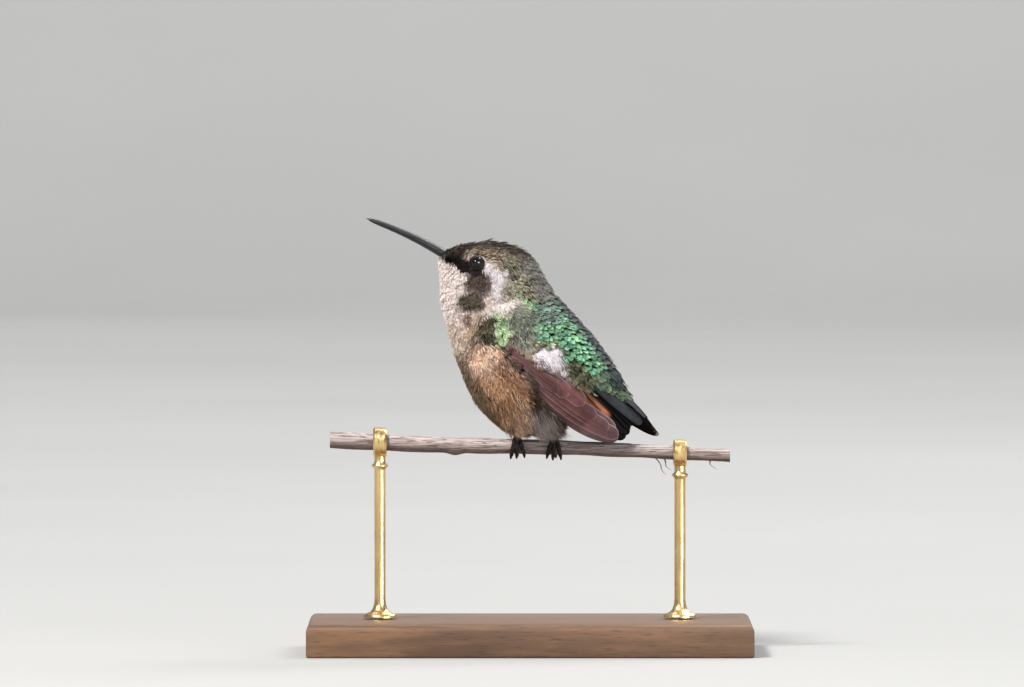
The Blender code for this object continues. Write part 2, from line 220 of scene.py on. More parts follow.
def insideOutline(x, z, outline, soft):
    # 1 inside a closed outline and 0 outside, with a soft edge, in millimetres
    inside = np.zeros(x.shape, bool)
    nearest = np.full(x.shape, 1e9)
    for (ax, az), (bx, bz) in zip(outline, outline[1:] + outline[:1]):
        crosses = (az > z) != (bz > z)
        slope = (bx - ax) / (bz - az) if bz != az else 0.0
        inside ^= crosses & (x < ax + (z - az) * slope)
        length = (bx - ax) ** 2 + (bz - az) ** 2
        share = np.clip(((x - ax) * (bx - ax) + (z - az) * (bz - az)) / length, 0, 1)
        gap = np.hypot(x - ax - share * (bx - ax), z - az - share * (bz - az))
        nearest = np.minimum(nearest, gap)
    return smoothStep(-soft, soft, np.where(inside, nearest, -nearest))


def node(tree, kind, inputs=None, **settings):
    made = tree.nodes.new(kind)
    for key, value in settings.items():
        setattr(made, key, value)
    for key, value in (inputs or {}).items():
        made.inputs[key].default_value = value
    return made


def link(tree, source, target):
    tree.links.new(source, target)


def calc(tree, operation, *values):
    made = node(tree, "ShaderNodeMath", operation=operation)
    for socket, value in zip(made.inputs, values):
        if isinstance(value, (int, float)):
            socket.default_value = value
        else:
            link(tree, value, socket)
    return made.outputs[0]


def mapRange(tree, value, *limits):
    # a smooth change from the first two limits to the next two, or to 0 and 1
    made = node(tree, "ShaderNodeMapRange", clamp=True, interpolation_type="SMOOTHSTEP")
    link(tree, value, made.inputs["Value"])
    for key, number in zip(("From Min", "From Max", "To Min", "To Max"), limits):
        made.inputs[key].default_value = number
    return made.outputs["Result"]


def between(tree, share, low, high):
    return mapRange(tree, share, 0.0, 1.0, low, high)


def mixColour(tree, factor, first, second):
    made = node(tree, "ShaderNodeMix", data_type="RGBA")
    for number, value in ((0, factor), (6, first), (7, second)):
        if isinstance(value, tuple):
            made.inputs[number].default_value = (*value, 1.0)
        else:
            link(tree, value, made.inputs[number])
    return made.outputs[2]


def overlay(tree, colour, *layers):
    # lays colours over another, each through a mask and at a strength
    for mask, strength, over in layers:
        colour = mixColour(tree, calc(tree, "MULTIPLY", mask, strength), colour, over)
    return colour


def newGroup(name, inputs, outputs):
    group = bpy.data.node_groups.new(name, "ShaderNodeTree")
    for label, kind, value in inputs:
        socket = group.interface.new_socket(label, in_out="INPUT", socket_type=kind)
        if value is not None:
            socket.default_value = value
    for label, kind in outputs:
        group.interface.new_socket(label, in_out="OUTPUT", socket_type=kind)
    return group, node(group, "NodeGroupInput"), node(group, "NodeGroupOutput")


def buildMottle():
    # soft irregular patches, from 0 to 1
    group, start, end = newGroup(
        "mottle",
        (("Vector", "NodeSocketVector", None), ("Scale", "NodeSocketFloat", 400.0),
         ("Low", "NodeSocketFloat", 0.35), ("High", "NodeSocketFloat", 0.65)),
        (("Value", "NodeSocketFloat"),))
    cloud = node(group, "ShaderNodeTexNoise", {"Detail": 4.0, "Roughness": 0.55})
    link(group, start.outputs["Vector"], cloud.inputs["Vector"])
    link(group, start.outputs["Scale"], cloud.inputs["Scale"])
    spread = node(group, "ShaderNodeMapRange", clamp=True)
    link(group, cloud.outputs["Fac"], spread.inputs["Value"])
    link(group, start.outputs["Low"], spread.inputs["From Min"])
    link(group, start.outputs["High"], spread.inputs["From Max"])
    link(group, spread.outputs["Result"], end.inputs["Value"])
    return group


def buildVanePattern():
    # on a feather's own map, across 0 to 1 and root to tip 0 to 1: fine slanted barbs and shaft
    group, start, end = newGroup(
        "vanePattern",
        (("Map", "NodeSocketVector", None), ("Barbs", "NodeSocketFloat", 26.0),
         ("Slant", "NodeSocketFloat", 1.2), ("Shaft Width", "NodeSocketFloat", 0.06)),
        (("Barbs", "NodeSocketFloat"), ("Shaft", "NodeSocketFloat")))
    split = node(group, "ShaderNodeSeparateXYZ")
    link(group, start.outputs["Map"], split.inputs[0])
    centred = calc(group, "SUBTRACT", split.outputs["X"], 0.5)
    side = calc(group, "MULTIPLY", calc(group, "ABSOLUTE", centred), 2.0)
    lean = calc(group, "MULTIPLY", side, start.outputs["Slant"])
    along = calc(group, "SUBTRACT", calc(group, "MULTIPLY", split.outputs["Y"], 4.0), lean)
    wave = calc(group, "SINE", calc(group, "MULTIPLY", along, start.outputs["Barbs"]))
    link(group, mapRange(group, wave, -1.0, 1.0), end.inputs["Barbs"])
    shaft = mapRange(group, side, 0.0, 1.0, 1.0, 0.0)
    link(group, start.outputs["Shaft Width"], shaft.node.inputs["From Max"])
    link(group, shaft, end.inputs["Shaft"])
    return group


mottle = buildMottle()
vanePattern = buildVanePattern()
socketNames = {"colour": "Base Color", "roughness": "Roughness", "metallic": "Metallic", "ior": "IOR",
               "specular": "Specular IOR Level", "coat": "Coat Weight",
               "coatRoughness": "Coat Roughness"}


def newMaterial(name, **constants):
    made = bpy.data.materials.new(name)
    made.use_nodes = True
    shader = made.node_tree.nodes["Principled BSDF"]
    for key, value in constants.items():
        shader.inputs[socketNames[key]].default_value = value
    return made, made.node_tree, shader


def feed(tree, shader, **values):
    for key, value in values.items():
        link(tree, value, shader.inputs[socketNames[key]])


def feedTinted(tree, shader, colour, brightness):
    # the colour, made brighter or darker from place to place
    tone = node(tree, "ShaderNodeHueSaturation")
    link(tree, colour, tone.inputs["Color"])
    link(tree, brightness, tone.inputs["Value"])
    feed(tree, shader, colour=tone.outputs["Color"])


def placeMottle(tree, vector, scale, low=0.35, high=0.65):
    made = node(tree, "ShaderNodeGroup", node_tree=mottle)
    link(tree, vector, made.inputs["Vector"])
    for key, value in (("Scale", scale), ("Low", low), ("High", high)):
        made.inputs[key].default_value = value
    return made.outputs["Value"]


def objectPlace(tree, stretch=(1, 1, 1), shift=(0, 0, 0), turn=(0, 0, 0)):
    # object coordinates, moved, turned and stretched
    place = node(tree, "ShaderNodeTexCoord")
    mapping = node(tree, "ShaderNodeMapping", {"Scale": stretch, "Location": shift, "Rotation": turn})
    link(tree, place.outputs["Object"], mapping.inputs["Vector"])
    return mapping.outputs["Vector"]


def attribute(tree, name, output="Color"):
    return node(tree, "ShaderNodeAttribute", attribute_name=name).outputs[output]


def addBump(tree, shader, height, strength, distance):
    bump = node(tree, "ShaderNodeBump", {"Strength": strength, "Distance": distance})
    link(tree, height, bump.inputs["Height"])
    link(tree, bump.outputs["Normal"], shader.inputs["Normal"])


def placeVanePattern(tree, barbs, slant, shaft):
    layer = node(tree, "ShaderNodeUVMap", uv_map="vane")
    made = node(tree, "ShaderNodeGroup", node_tree=vanePattern)
    link(tree, layer.outputs["UV"], made.inputs["Map"])
    for key, value in (("Barbs", barbs), ("Slant", slant), ("Shaft Width", shaft)):
        made.inputs[key].default_value = value
    return made.outputs


def speckledFinish(name, scale, colours, bump=None, stretch=(1, 1, 1), **constants):
    # soft patches of two colours that can also be raised by a bump's strength and height
    made, tree, shader = newMaterial(name, **constants)
    speck = placeMottle(tree, objectPlace(tree, stretch), scale)
    feed(tree, shader, colour=mixColour(tree, speck, *colours))
    if bump:
        addBump(tree, shader, speck, *bump)
    return made


def feedGloss(tree, shader, smoothest):
    # shining feathers are more metallic and smoother
    gloss = attribute(tree, "gloss", "Fac")
    feed(tree, shader, metallic=between(tree, gloss, 0.0, 0.9),
         roughness=between(tree, gloss, 0.8, smoothest))


def rimmedColour(tree, inner, outer):
    # the feather's own colour, and its rim's where the edge is nearer than inner to outer
    rim = mapRange(tree, attribute(tree, "edgeGap", "Fac"), inner, outer, 1.0, 0.0)
    return mixColour(tree, rim, attribute(tree, "plumage"), attribute(tree, "rimTint"))


def bodyVaneFinish():
    # small body feathers: own colour, rim colour and metallic gloss come from the mesh
    made, tree, shader = newMaterial("bodyVanes", specular=0.2)
    pattern = placeVanePattern(tree, 16.0, 2.2, 0.12)
    feedTinted(tree, shader, rimmedColour(tree, 0.05, 0.34), between(tree, pattern["Barbs"], 0.74, 1.1))
    feedGloss(tree, shader, 0.36)
    addBump(tree, shader, pattern["Barbs"], 0.5, 0.00004)
    return made


def fanFinish():
    # the free barbs of body feathers, dull or with a metallic gloss
    made, tree, shader = newMaterial("featherBarbs", specular=0.22)
    speck = placeMottle(tree, objectPlace(tree), 2600.0, 0.3, 0.7)
    feedTinted(tree, shader, attribute(tree, "plumage"), between(tree, speck, 0.86, 1.12))
    feedGloss(tree, shader, 0.34)
    return made


def skinFinish():
    made, tree, shader = newMaterial("downySkin", roughness=0.9, specular=0.15)
    down = placeMottle(tree, objectPlace(tree), 2200.0)
    feedTinted(tree, shader, attribute(tree, "plumage"), between(tree, down, 0.45, 0.8))
    addBump(tree, shader, down, 0.8, 0.0002)
    return made


def flightFinish(name, specular, edge, centre):
    # long stiff feathers of wing and tail, with a brightness at the edge and in the middle
    made, tree, shader = newMaterial(name, specular=specular)
    pattern = placeVanePattern(tree, 130.0, 0.35, 0.10)
    streak = placeMottle(tree, objectPlace(tree), 900.0)
    value = between(tree, pattern["Barbs"], 0.86, 1.06)
    for share in (between(tree, streak, 0.86, 1.12), between(tree, pattern["Shaft"], 1.0, 0.6),
                  mapRange(tree, attribute(tree, "edgeGap", "Fac"), 0.15, 0.8, edge, centre)):
        value = calc(tree, "MULTIPLY", value, share)
    feedTinted(tree, shader, rimmedColour(tree, 0.05, 0.17), value)
    feed(tree, shader, roughness=between(tree, streak, 0.46, 0.60))
    addBump(tree, shader, pattern["Barbs"], 0.4, 0.00004)
    return made


bodyVanes = bodyVaneFinish()
featherBarbs = fanFinish()
downySkin = skinFinish()
wingFeathers = flightFinish("wingFeathers", 0.12, 1.12, 0.84)
tailFeathers = flightFinish("tailFeathers", 0.05, 0.72, 1.1)
print("node groups and feather finishes built")

bodyForm = {
    "nodes": ("head", "neck", "trunk"),
    "spine": [(-16.05, 71.55), (-13.2, 70.3), (-9.4, 67.6), (-6.0, 62.5), (-2.7, 56.6),
              (1.7, 49.9), (6.4, 44.4), (10.6, 43.2), (14.9, 43.1)],
    "lean": [50, 49, 40, 32, 25, 22.5, 24, 26, 25],  # slope of each cross-section, degrees
    "rows": 230, "columns": 150,
    "beyond": 50,        # extra rows past the rump for long plumes
    "reach": 17,         # further out than any of the body is from its spine
    "eyeMargin": 0.5,    # nearer to the eyeball than this, the surface is filled in
    "coatAt": [0.0, 0.06, 0.2, 0.35, 0.5, 0.7, 0.9, 1.0],  # share of the way to the tail
    "coat": [0.25, 0.42, 0.62, 0.85, 1.25, 1.4, 1.1, 0.7],  # and how deep the coat is there
    "socket": 1.05,      # how far the coat sinks round the eyes
    "socketSize": 2.0,
}
eyeLow, eyeHigh = (np.array(corner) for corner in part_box("eye_left"))
eyeCentre = (eyeLow + eyeHigh) / 2
eyeRadius = max(eyeHigh[0] - eyeLow[0], eyeHigh[2] - eyeLow[2]) / 2


def treeOf(names):
    points, faces = [], []
    for name in names:
        mesh = frame["nodes"][name].data
        base = len(points)
        points += [vertex.co.copy() for vertex in mesh.vertices]
        faces += [[base + i for i in face.vertices] for face in mesh.polygons]
    return BVHTree.FromPolygons(points, faces)


def fillHoles(grid, holes):
    # spreads the known values into the holes, a little at a time
    grid = grid.copy()
    known = ~holes
    grid[holes] = 0.0
    while not known.all():
        total = np.zeros_like(grid)
        count = np.zeros_like(grid)
        for shift, axis in ((1, 0), (-1, 0), (1, 1), (-1, 1)):
            total += np.roll(np.where(known, grid, 0.0), shift, axis)
            count += np.roll(known, shift, axis)
        fresh = ~known & (count > 0)
        grid[fresh] = total[fresh] / count[fresh]
        known |= fresh
    return grid


def windowMedian(grid, reach, axis):
    stack = []
    for shift in range(-reach, reach + 1):
        moved = np.roll(grid, shift, axis)
        if axis == 0 and shift > 0:
            moved[:shift] = grid[:1]
        if axis == 0 and shift < 0:
            moved[shift:] = grid[-1:]
        stack.append(moved)
    return np.median(stack, axis=0)


def soften(grid, passes):
    for _ in range(passes):
        padded = np.concatenate([grid[:1], grid, grid[-1:]])
        grid = (padded[:-2] + 2 * grid + padded[2:]) / 4
        grid = (np.roll(grid, 1, 1) + 2 * grid + np.roll(grid, -1, 1)) / 4
    return grid


def readBodySurface():
    # rays towards the spine find the solids of head, neck and trunk, whose seams are smoothed away
    rows, columns = bodyForm["rows"], bodyForm["columns"]
    tree = treeOf(bodyForm["nodes"])
    far = bodyForm["reach"] * mm
    middles = np.zeros((rows, 3))
    outward = np.zeros((rows, columns, 3))
    radius = np.full((rows, columns), np.nan)
    angles = np.array(turns(columns))
    for i in range(rows):
        place = i / (rows - 1) * (len(bodyForm["spine"]) - 1)
        x, z = catmull(bodyForm["spine"], place)
        lean = math.radians(float(catmull(bodyForm["lean"], place)))
        middles[i] = (x * mm, 0, z * mm)
        outward[i, :, 0] = math.cos(lean) * np.cos(angles)
        outward[i, :, 1] = np.sin(angles)
        outward[i, :, 2] = math.sin(lean) * np.cos(angles)
        for j in range(columns):
            start = Vector(middles[i] + outward[i, j] * far)
            spot, _, _, distance = tree.ray_cast(start, Vector(-outward[i, j]), far)
            if spot is not None:
                eyeGap = np.linalg.norm(toLeft(np.array(spot)) - eyeCentre)
                if eyeGap > eyeRadius + bodyForm["eyeMargin"] * mm:
                    radius[i, j] = far - distance
    radius = fillHoles(radius, np.isnan(radius))
    radius = soften(windowMedian(windowMedian(radius, 4, 0), 4, 1), 3)
    surface = middles[:, None, :] + outward * radius[:, :, None]
    step = (surface[-1] - surface[-4]) / 3
    tail = surface[-1] + step * np.arange(1, bodyForm["beyond"] + 1)[:, None, None]
    return np.concatenate([surface, tail])


def gridNormals(surface):
    alongRow = np.gradient(surface, axis=0)
    alongColumn = (np.roll(surface, -1, 1) - np.roll(surface, 1, 1)) / 2
    normals = unit(np.cross(alongRow, alongColumn))
    middle = surface.mean(axis=1, keepdims=True)
    if ((surface - middle) * normals).sum() < 0:
        normals = -normals
    return normals, alongRow, alongColumn


surface = readBodySurface()
# the coat sinks to the lids all round each eye
away = toLeft(surface) - eyeCentre
eyeReach = np.sqrt(away[..., 0] ** 2 + away[..., 2] ** 2) / mm
beside = np.abs(surface[..., 1]) > 2.0 * mm
socket = bodyForm["socket"] * np.exp(-(eyeReach / bodyForm["socketSize"]) ** 2) * beside
surface = surface - np.array((0, 1, 0)) * np.sign(surface[..., 1:2]) * socket[..., None] * mm
normals, alongRow, alongColumn = gridNormals(surface)
bodyRows, bodyColumns = bodyForm["rows"], bodyForm["columns"]
rowShare = np.minimum(np.arange(len(surface)) / (bodyRows - 1), 1.0)
coatDepth = np.interp(rowShare, bodyForm["coatAt"], bodyForm["coat"])[:, None] * mm
coatDepth = np.repeat(coatDepth, bodyColumns, axis=1) * (1 - 0.55 * socket / bodyForm["socket"])
print("body surface read from the frame")

underside = {   # height above the floor: colour, for all that no marking covers
    "heights": [38.0, 42.0, 46.0, 51.0, 54.5, 57.0, 61.0, 66.0, 71.0],
    "colours": ["5f5242", "66543e", "705c47", "7f6b59", "a8937f", "c3af9f", "dac7be", "e2d0c9",
                "cdbdb2"],
}


def mark(name, shape, soft, colour, rim, ridge=None, **look):
    # a marking: an outline of (x, z) points, or an oval's place, half sizes and turn; how soft
    # its edge is; the colour of its feathers and of their fringes; and what else differs there.
    # With a ridge it fades between two distances from the bird's middle.
    return {"name": name, "shape": shape, "soft": soft, "colour": linear(colour),
            "rim": linear(rim), "ridge": ridge, "look": look}


# Later markings lie over earlier ones.
markings = [
    mark("throat", [(-17.2, 71.0), (-13.8, 69.9), (-12.0, 68.0), (-11.5, 64.0), (-11.4, 60.4),
         (-12.6, 57.4), (-15.5, 56.5), (-17.6, 62.0)], 0.6, "dfcdc5", "fff3ec", loose=0.5, long=1.6,
         lift=0.08, barb=0.085, fringe=1.0, gap=0.56, vary=0.1, fleck=0.07),
    mark("breast", ((-13.4, 56.4), (2.6, 2.8), 0), 1.2, "d0baa7", "fae9d8", loose=0.9, long=2.2,
         lift=0.12, barb=0.08, fringe=0.8, vary=0.16, fleck=0.06),
    mark("breast side", ((-10.3, 58.4), (1.6, 2.0), 0), 0.8, "bb9c84", "e2cab7", loose=0.9, long=2.0,
         barb=0.08, fringe=0.7, vary=0.22),
    mark("flank", [(-10.9, 54.0), (-8.6, 56.2), (-6.0, 55.0), (-2.6, 51.6), (0.2, 48.4), (1.4, 44.6),
         (0.2, 40.6), (-4.0, 41.6), (-6.6, 44.4), (-8.4, 48.0), (-10.2, 51.0)], 0.9, "b2714a", "ffdcb8",
         loose=1.0, long=3.4, lift=0.32, barb=0.07, fringe=0.85, gap=0.64, vary=0.32, fleck=0.05),
    mark("flank top", ((-8.2, 52.6), (2.7, 3.1), -25), 0.9, "f0bd9f", "fff0e0", loose=1.0, long=2.6,
         lift=0.24, barb=0.07, fringe=0.8, vary=0.2),
    # partly the belly's own grey-brown middle, partly painted shade along its lower front edge
    mark("belly shade", [(-10.4, 47.5), (-7.6, 46.6), (-5.6, 44.0), (-3.4, 41.6), (-2.0, 38.0),
         (-8.0, 38.0), (-12.0, 43.0)], 0.9, "75604a", "ac8e6e", loose=1.0, long=2.8, barb=0.07, vary=0.3),
    mark("flank foot", ((-1.4, 42.2), (2.4, 2.6), -30), 0.8, "9c6c4e", "f4d6b8", loose=1.0, long=3.2,
         lift=0.36, barb=0.065, fringe=0.9, vary=0.35, droop=1.3, fleck=0.1),
    mark("wing pit", [(-6.0, 56.2), (-3.4, 55.2), (-1.0, 53.2), (1.2, 49.4), (1.6, 46.6), (-0.2, 46.8),
         (-2.4, 49.8), (-4.8, 53.0)], 0.6, "4b3a33", "b3937c", loose=1.0, long=3.0, lift=0.25, barb=0.07,
         vary=0.3),
    mark("back", [(4.2, 69.0), (1.6, 65.0), (0.2, 62.0), (-1.2, 59.6), (-0.4, 57.0), (2.2, 55.2),
         (4.6, 55.4), (6.2, 53.0), (8.4, 52.4), (11.0, 50.2), (15.0, 42.0), (26.0, 40.0), (24.0, 60.0),
         (10.0, 69.0)], 0.6, "6c9a76", "98cba9", loose=0.0, long=1.8, lift=0.1, plump=0.5, barb=0.15,
         gloss=0.55, fringe=0.7, gap=0.76, vary=0.42),
    mark("mantle", ((2.6, 61.6), (3.4, 2.4), -35), 1.0, "667a6f", "a9bdb0", loose=0.25, long=1.9,
         barb=0.12, gloss=0.4, fringe=0.7, gap=0.72, vary=0.35),
    # painted shade: the shining back is painted darker grey along its ridge, standing in for the shine that
    # fades there at a grazing view
    mark("back ridge shade", [(2.0, 68.0), (5.0, 62.5), (8.4, 57.5), (12.0, 52.6), (15.4, 47.6), (24.0, 44.0),
         (26.0, 60.0), (8.0, 72.0)], 0.8, "484d4e", "6e7674", ridge=(3.2, 5.8), loose=0.1, long=2.1,
         plump=0.55, barb=0.15, gloss=0.22, fringe=0.6, gap=0.8, vary=0.35),
    mark("yellow glints", [(0.6, 54.4), (2.4, 55.6), (4.6, 56.1), (6.2, 54.6), (6.4, 53.4), (5.2, 54.8),
         (3.2, 55.2), (1.4, 54.4)], 0.3, "7f8c62", "b9c792", loose=0.5, long=1.5, barb=0.12, gloss=0.2),
    mark("olive hollow", [(6.8, 52.4), (8.3, 53.0), (9.9, 51.4), (11.4, 49.8), (11.6, 48.0), (9.7, 47.6),
         (7.8, 48.8), (6.6, 50.4)], 0.5, "5b5c43", "9c9d7a", loose=0.5, long=1.6, barb=0.1, gloss=0.12,
         gap=0.62, vary=0.45),
    mark("tail cover", [(11.6, 49.8), (12.6, 51.4), (15.6, 48.6), (20.0, 46.0), (24.0, 43.0),
         (22.0, 38.0), (14.0, 42.0), (11.0, 47.4)], 0.6, "5f6e55", "9ab094", loose=0.0, long=2.6,
         plump=0.42, barb=0.15, gloss=0.35, fringe=0.75, gap=0.85, vary=0.5),
    mark("slate wedge", [(12.9, 51.4), (15.4, 51.0), (17.3, 48.6), (18.4, 46.4), (15.4, 48.0),
         (13.6, 49.8)], 0.35, "262c2c", "5f7a78", loose=0.0, long=3.2, lift=0.2, plump=0.3, barb=0.15,
         gloss=0.25, fringe=0.6, gap=1.2, vary=0.35),
    mark("scapulars", [(-3.6, 61.8), (-0.4, 62.0), (1.4, 60.2), (1.6, 57.6), (0.6, 54.8), (-1.0, 54.4),
         (-2.6, 55.8), (-3.4, 59.0)], 0.6, "666b5c", "ccd2c0", loose=0.85, long=2.8, lift=0.16, barb=0.08,
         gloss=0.08, fringe=0.8, gap=0.62, vary=0.55, fleck=0.15),
    mark("shoulder streaks", ((-2.9, 56.6), (0.7, 1.6), 10), 0.35, "503c33", "9a8d7c", loose=0.9,
         long=2.0, fringe=0.7, vary=0.4),
    mark("shoulder", [(-9.6, 58.2), (-8.5, 60.2), (-7.0, 60.9), (-6.3, 58.6), (-5.8, 56.0), (-7.0, 54.7),
         (-8.8, 55.8)], 0.35, "3d3426", "7d765d", loose=0.3, long=1.5, barb=0.09, gloss=0.1, fringe=0.6,
         gap=0.6, vary=0.4, fleck=0.25),
    mark("glint", [(-6.7, 60.7), (-4.0, 60.6), (-3.2, 59.6), (-3.7, 57.4), (-4.0, 55.4), (-5.4, 55.0),
         (-5.8, 57.0), (-6.1, 59.0)], 0.35, "7d9c66", "dcefcd", loose=0.3, long=1.8, plump=0.5, barb=0.13,
         gloss=0.3, fringe=0.85, gap=0.58, vary=0.5),
    # partly the flank's own darker lower part, partly painted shade on its underside
    mark("flank low", ((-3.8, 43.8), (2.4, 2.2), 0), 1.0, "8a5c3f", "dcb28c", loose=1.0, long=3.2,
         lift=0.3, barb=0.065, vary=0.35),
    mark("leg puff", ((3.6, 41.6), (2.8, 3.0), 10), 0.8, "7d6b62", "ece2de", loose=1.0, long=3.2,
         lift=0.36, barb=0.06, fringe=0.6, vary=0.45, droop=1.7),
    mark("vent", [(5.4, 46.0), (12.0, 44.0), (14.0, 40.0), (10.0, 36.0), (5.0, 37.0)], 0.8, "54453b",
         "8b7b6f", loose=0.9, long=2.8, barb=0.07),
    # painted shadow in the gap just under the wing's front edge
    mark("painted shadow below wing edge", ((1.2, 45.2), (0.9, 1.9), 12), 0.5, "2c1a17", "4a322c", loose=1.0, long=1.8),
    mark("white patch", [(1.2, 54.4), (2.7, 55.1), (4.3, 55.5), (5.1, 54.5), (5.6, 53.0), (6.2, 51.4),
         (6.8, 50.4), (5.0, 50.8), (3.8, 51.3), (2.7, 51.5), (2.1, 51.4), (1.5, 52.4), (1.2, 53.6)], 0.25,
         "fbf0f6", "ffffff", loose=0.55, long=3.4, lift=0.12, barb=0.06, gap=0.52, vary=0.08),
    mark("patch foot", [(0.4, 51.8), (2.4, 51.3), (4.4, 50.6), (6.6, 50.2), (8.0, 49.2), (6.4, 48.6),
         (3.0, 49.6), (0.4, 50.8)], 0.25, "7a6366", "cdbcc2", loose=0.9, long=1.9, barb=0.08),
    mark("side of neck", [(-5.8, 71.6), (-1.0, 72.6), (3.8, 68.5), (4.0, 64.6), (0.8, 62.9), (-2.4, 63.5),
         (-4.9, 63.6), (-4.9, 65.2), (-4.2, 67.4), (-5.2, 69.4)], 0.5, "6c654d", "d6cfb8", loose=0.55,
         long=1.9, lift=0.12, barb=0.1, gloss=0.06, fringe=0.85, gap=0.85, vary=0.35, fleck=0.2),
    mark("neck pale", ((-3.0, 65.2), (1.3, 1.3), 0), 0.9, "9c967e", "efe7d4", loose=0.6, long=1.8,
         barb=0.08, fringe=0.8, gap=0.65, vary=0.4),
    mark("nape", [(-1.4, 71.6), (2.0, 70.6), (4.4, 67.0), (4.6, 63.6), (2.0, 63.0), (0.4, 66.0),
         (-1.0, 68.6)], 0.8, "706c65", "bdb8b0", loose=0.4, long=2.0, barb=0.1, gloss=0.1, fringe=0.6,
         gap=0.85, vary=0.3, fleck=0.12),
    mark("neck glint", ((-0.4, 63.0), (1.6, 0.7), -15), 0.4, "86a874", "b8e8a8", loose=0.3, long=1.4,
         barb=0.11, gloss=0.3, fringe=0.7, gap=0.6, vary=0.35),
    mark("throat shade", ((-12.3, 61.4), (0.9, 1.6), 0), 0.8, "b6a399", "e8d8cf", loose=0.7, long=1.5,
         lift=0.06, barb=0.08, fringe=0.7, vary=0.3, fleck=0.12),
    mark("throat spot", ((-11.4, 59.9), (0.9, 0.8), 0), 0.5, "947a6b", "bda99b", loose=0.7, long=1.4),
    mark("ear", ((-5.9, 63.6), (1.4, 1.4), 0), 0.5, "c4b2ae", "f8ecea", loose=0.85, long=1.5, barb=0.07,
         fringe=0.8, gap=0.5, vary=0.3, fleck=0.08),
    mark("collar", [(-9.4, 61.4), (-6.8, 61.9), (-5.6, 63.3), (-3.0, 63.8), (-1.7, 62.8), (-3.2, 61.6),
         (-5.6, 61.1), (-7.6, 60.1), (-9.2, 59.9)], 0.4, "fff0e8", "ffffff", loose=1.0, long=2.5,
         lift=0.14, barb=0.06, gap=0.52, vary=0.1),
    mark("collar front", ((-9.3, 60.6), (1.3, 0.8), 0), 0.5, "d2bca9", "f0dfd0", loose=0.8, long=1.4),
    mark("cheek", [(-11.4, 69.3), (-8.2, 69.2), (-7.6, 68.2), (-6.9, 66.9), (-7.0, 65.4), (-7.8, 64.4),
         (-8.3, 63.4), (-9.0, 62.4), (-9.4, 61.5), (-11.4, 61.5), (-12.8, 62.7), (-12.2, 64.2),
         (-11.4, 65.4), (-11.6, 67.0)], 0.7, "46352f", "98857d", loose=0.75, long=1.4, barb=0.07,
         fringe=0.6, gap=0.52, vary=0.45, fleck=0.28),
    mark("cheek light", ((-9.8, 64.6), (1.4, 0.8), 0), 0.5, "7d6862", "b9a6a0", loose=0.75, long=1.2,
         barb=0.08, gap=0.48, vary=0.35),
    mark("cheek foot", ((-10.7, 62.6), (1.9, 1.0), 0), 0.8, "4a4132", "8c8268", loose=0.75, long=1.2,
         barb=0.07, gap=0.48, vary=0.5),
    mark("crown", [(-16.8, 73.2), (-14.4, 71.6), (-12.0, 71.8), (-9.6, 72.4), (-6.2, 72.2), (-3.4, 71.6),
         (-0.6, 70.8), (1.0, 70.2), (4.0, 71.0), (2.0, 77.0), (-8.0, 79.0), (-16.0, 77.0)], 0.4, "2a1f18",
         "a5917e", loose=0.25, long=2.6, lift=0.16, plump=0.3, barb=0.11, gloss=0.05, fringe=0.7,
         gap=0.78, vary=0.65, fleck=0.36),
    mark("crown edge", [(-15.5, 73.0), (-12.0, 72.6), (-6.0, 73.0), (-1.0, 71.8), (2.0, 70.6),
         (4.0, 72.0), (2.0, 77.0), (-8.0, 79.0), (-16.0, 77.0)], 0.5, "241a14", "6f6055",
         ridge=(1.8, 3.8), loose=0.3, long=2.8, lift=0.2, plump=0.3, barb=0.1, fringe=0.6, gap=0.8,
         vary=0.5, fleck=0.3),
    mark("brow", [(-11.4, 71.6), (-9.6, 72.7), (-6.6, 72.4), (-4.2, 71.3), (-5.4, 69.9), (-6.9, 70.3),
         (-8.2, 71.4), (-10.2, 71.7)], 0.35, "6b5545", "d8c3a6", loose=0.6, long=1.4, barb=0.08,
         fringe=0.8, gap=0.6, vary=0.35, fleck=0.15),
    mark("forehead", [(-17.0, 71.6), (-14.8, 73.6), (-12.2, 74.0), (-11.2, 72.6), (-11.6, 71.0),
         (-13.8, 71.0)], 0.6, "2e231b", "6a5a4e", loose=0.5, long=1.4, barb=0.075, gap=0.55, vary=0.35,
         fleck=0.25),
    mark("lores", [(-16.9, 71.2), (-14.8, 71.5), (-12.6, 71.3), (-11.2, 71.0), (-10.6, 69.0),
         (-11.6, 68.0), (-12.4, 68.6), (-13.7, 69.8), (-16.0, 70.8)], 0.3, "1a1110", "30231f", loose=0.6,
         long=0.8, barb=0.065, gap=0.38),
    mark("under eye", ((-9.5, 68.3), (2.0, 0.8), -6), 0.35, "302324", "4d3f40", loose=0.6, long=0.8,
         barb=0.065, gap=0.4),
    mark("eye streak", [(-7.9, 69.9), (-6.7, 69.8), (-5.9, 69.0), (-4.5, 68.3), (-4.5, 67.1),
         (-5.5, 66.5), (-5.2, 65.0), (-5.5, 63.5), (-6.4, 63.4), (-6.8, 65.0), (-6.6, 66.7), (-7.2, 68.0),
         (-8.0, 69.1)], 0.35, "f4e8ec", "ffffff", loose=1.0, long=1.7, lift=0.16, barb=0.06, gap=0.42,
         vary=0.15),
    mark("eye front", [(-11.6, 70.9), (-11.1, 71.8), (-10.6, 71.9), (-10.9, 71.2), (-11.2, 70.5)], 0.15,
         "8f7d70", "b3a294", loose=0.4, long=0.6, barb=0.06, gap=0.4),
]

# What a feather is like where no marking says otherwise: looseness, length, how far it stands
# up, barb width, width for its length, gloss, strength of its fringe, distance to the next one,
# how much its brightness varies, how far its tip droops, and the share of dark ones.
plainLook = {"loose": 0.8, "long": 2.2, "lift": 0.10, "barb": 0.09, "plump": 0.62, "gloss": 0.0,
             "fringe": 0.5, "gap": 0.64, "vary": 0.22, "droop": 0.0, "fleck": 0.0}


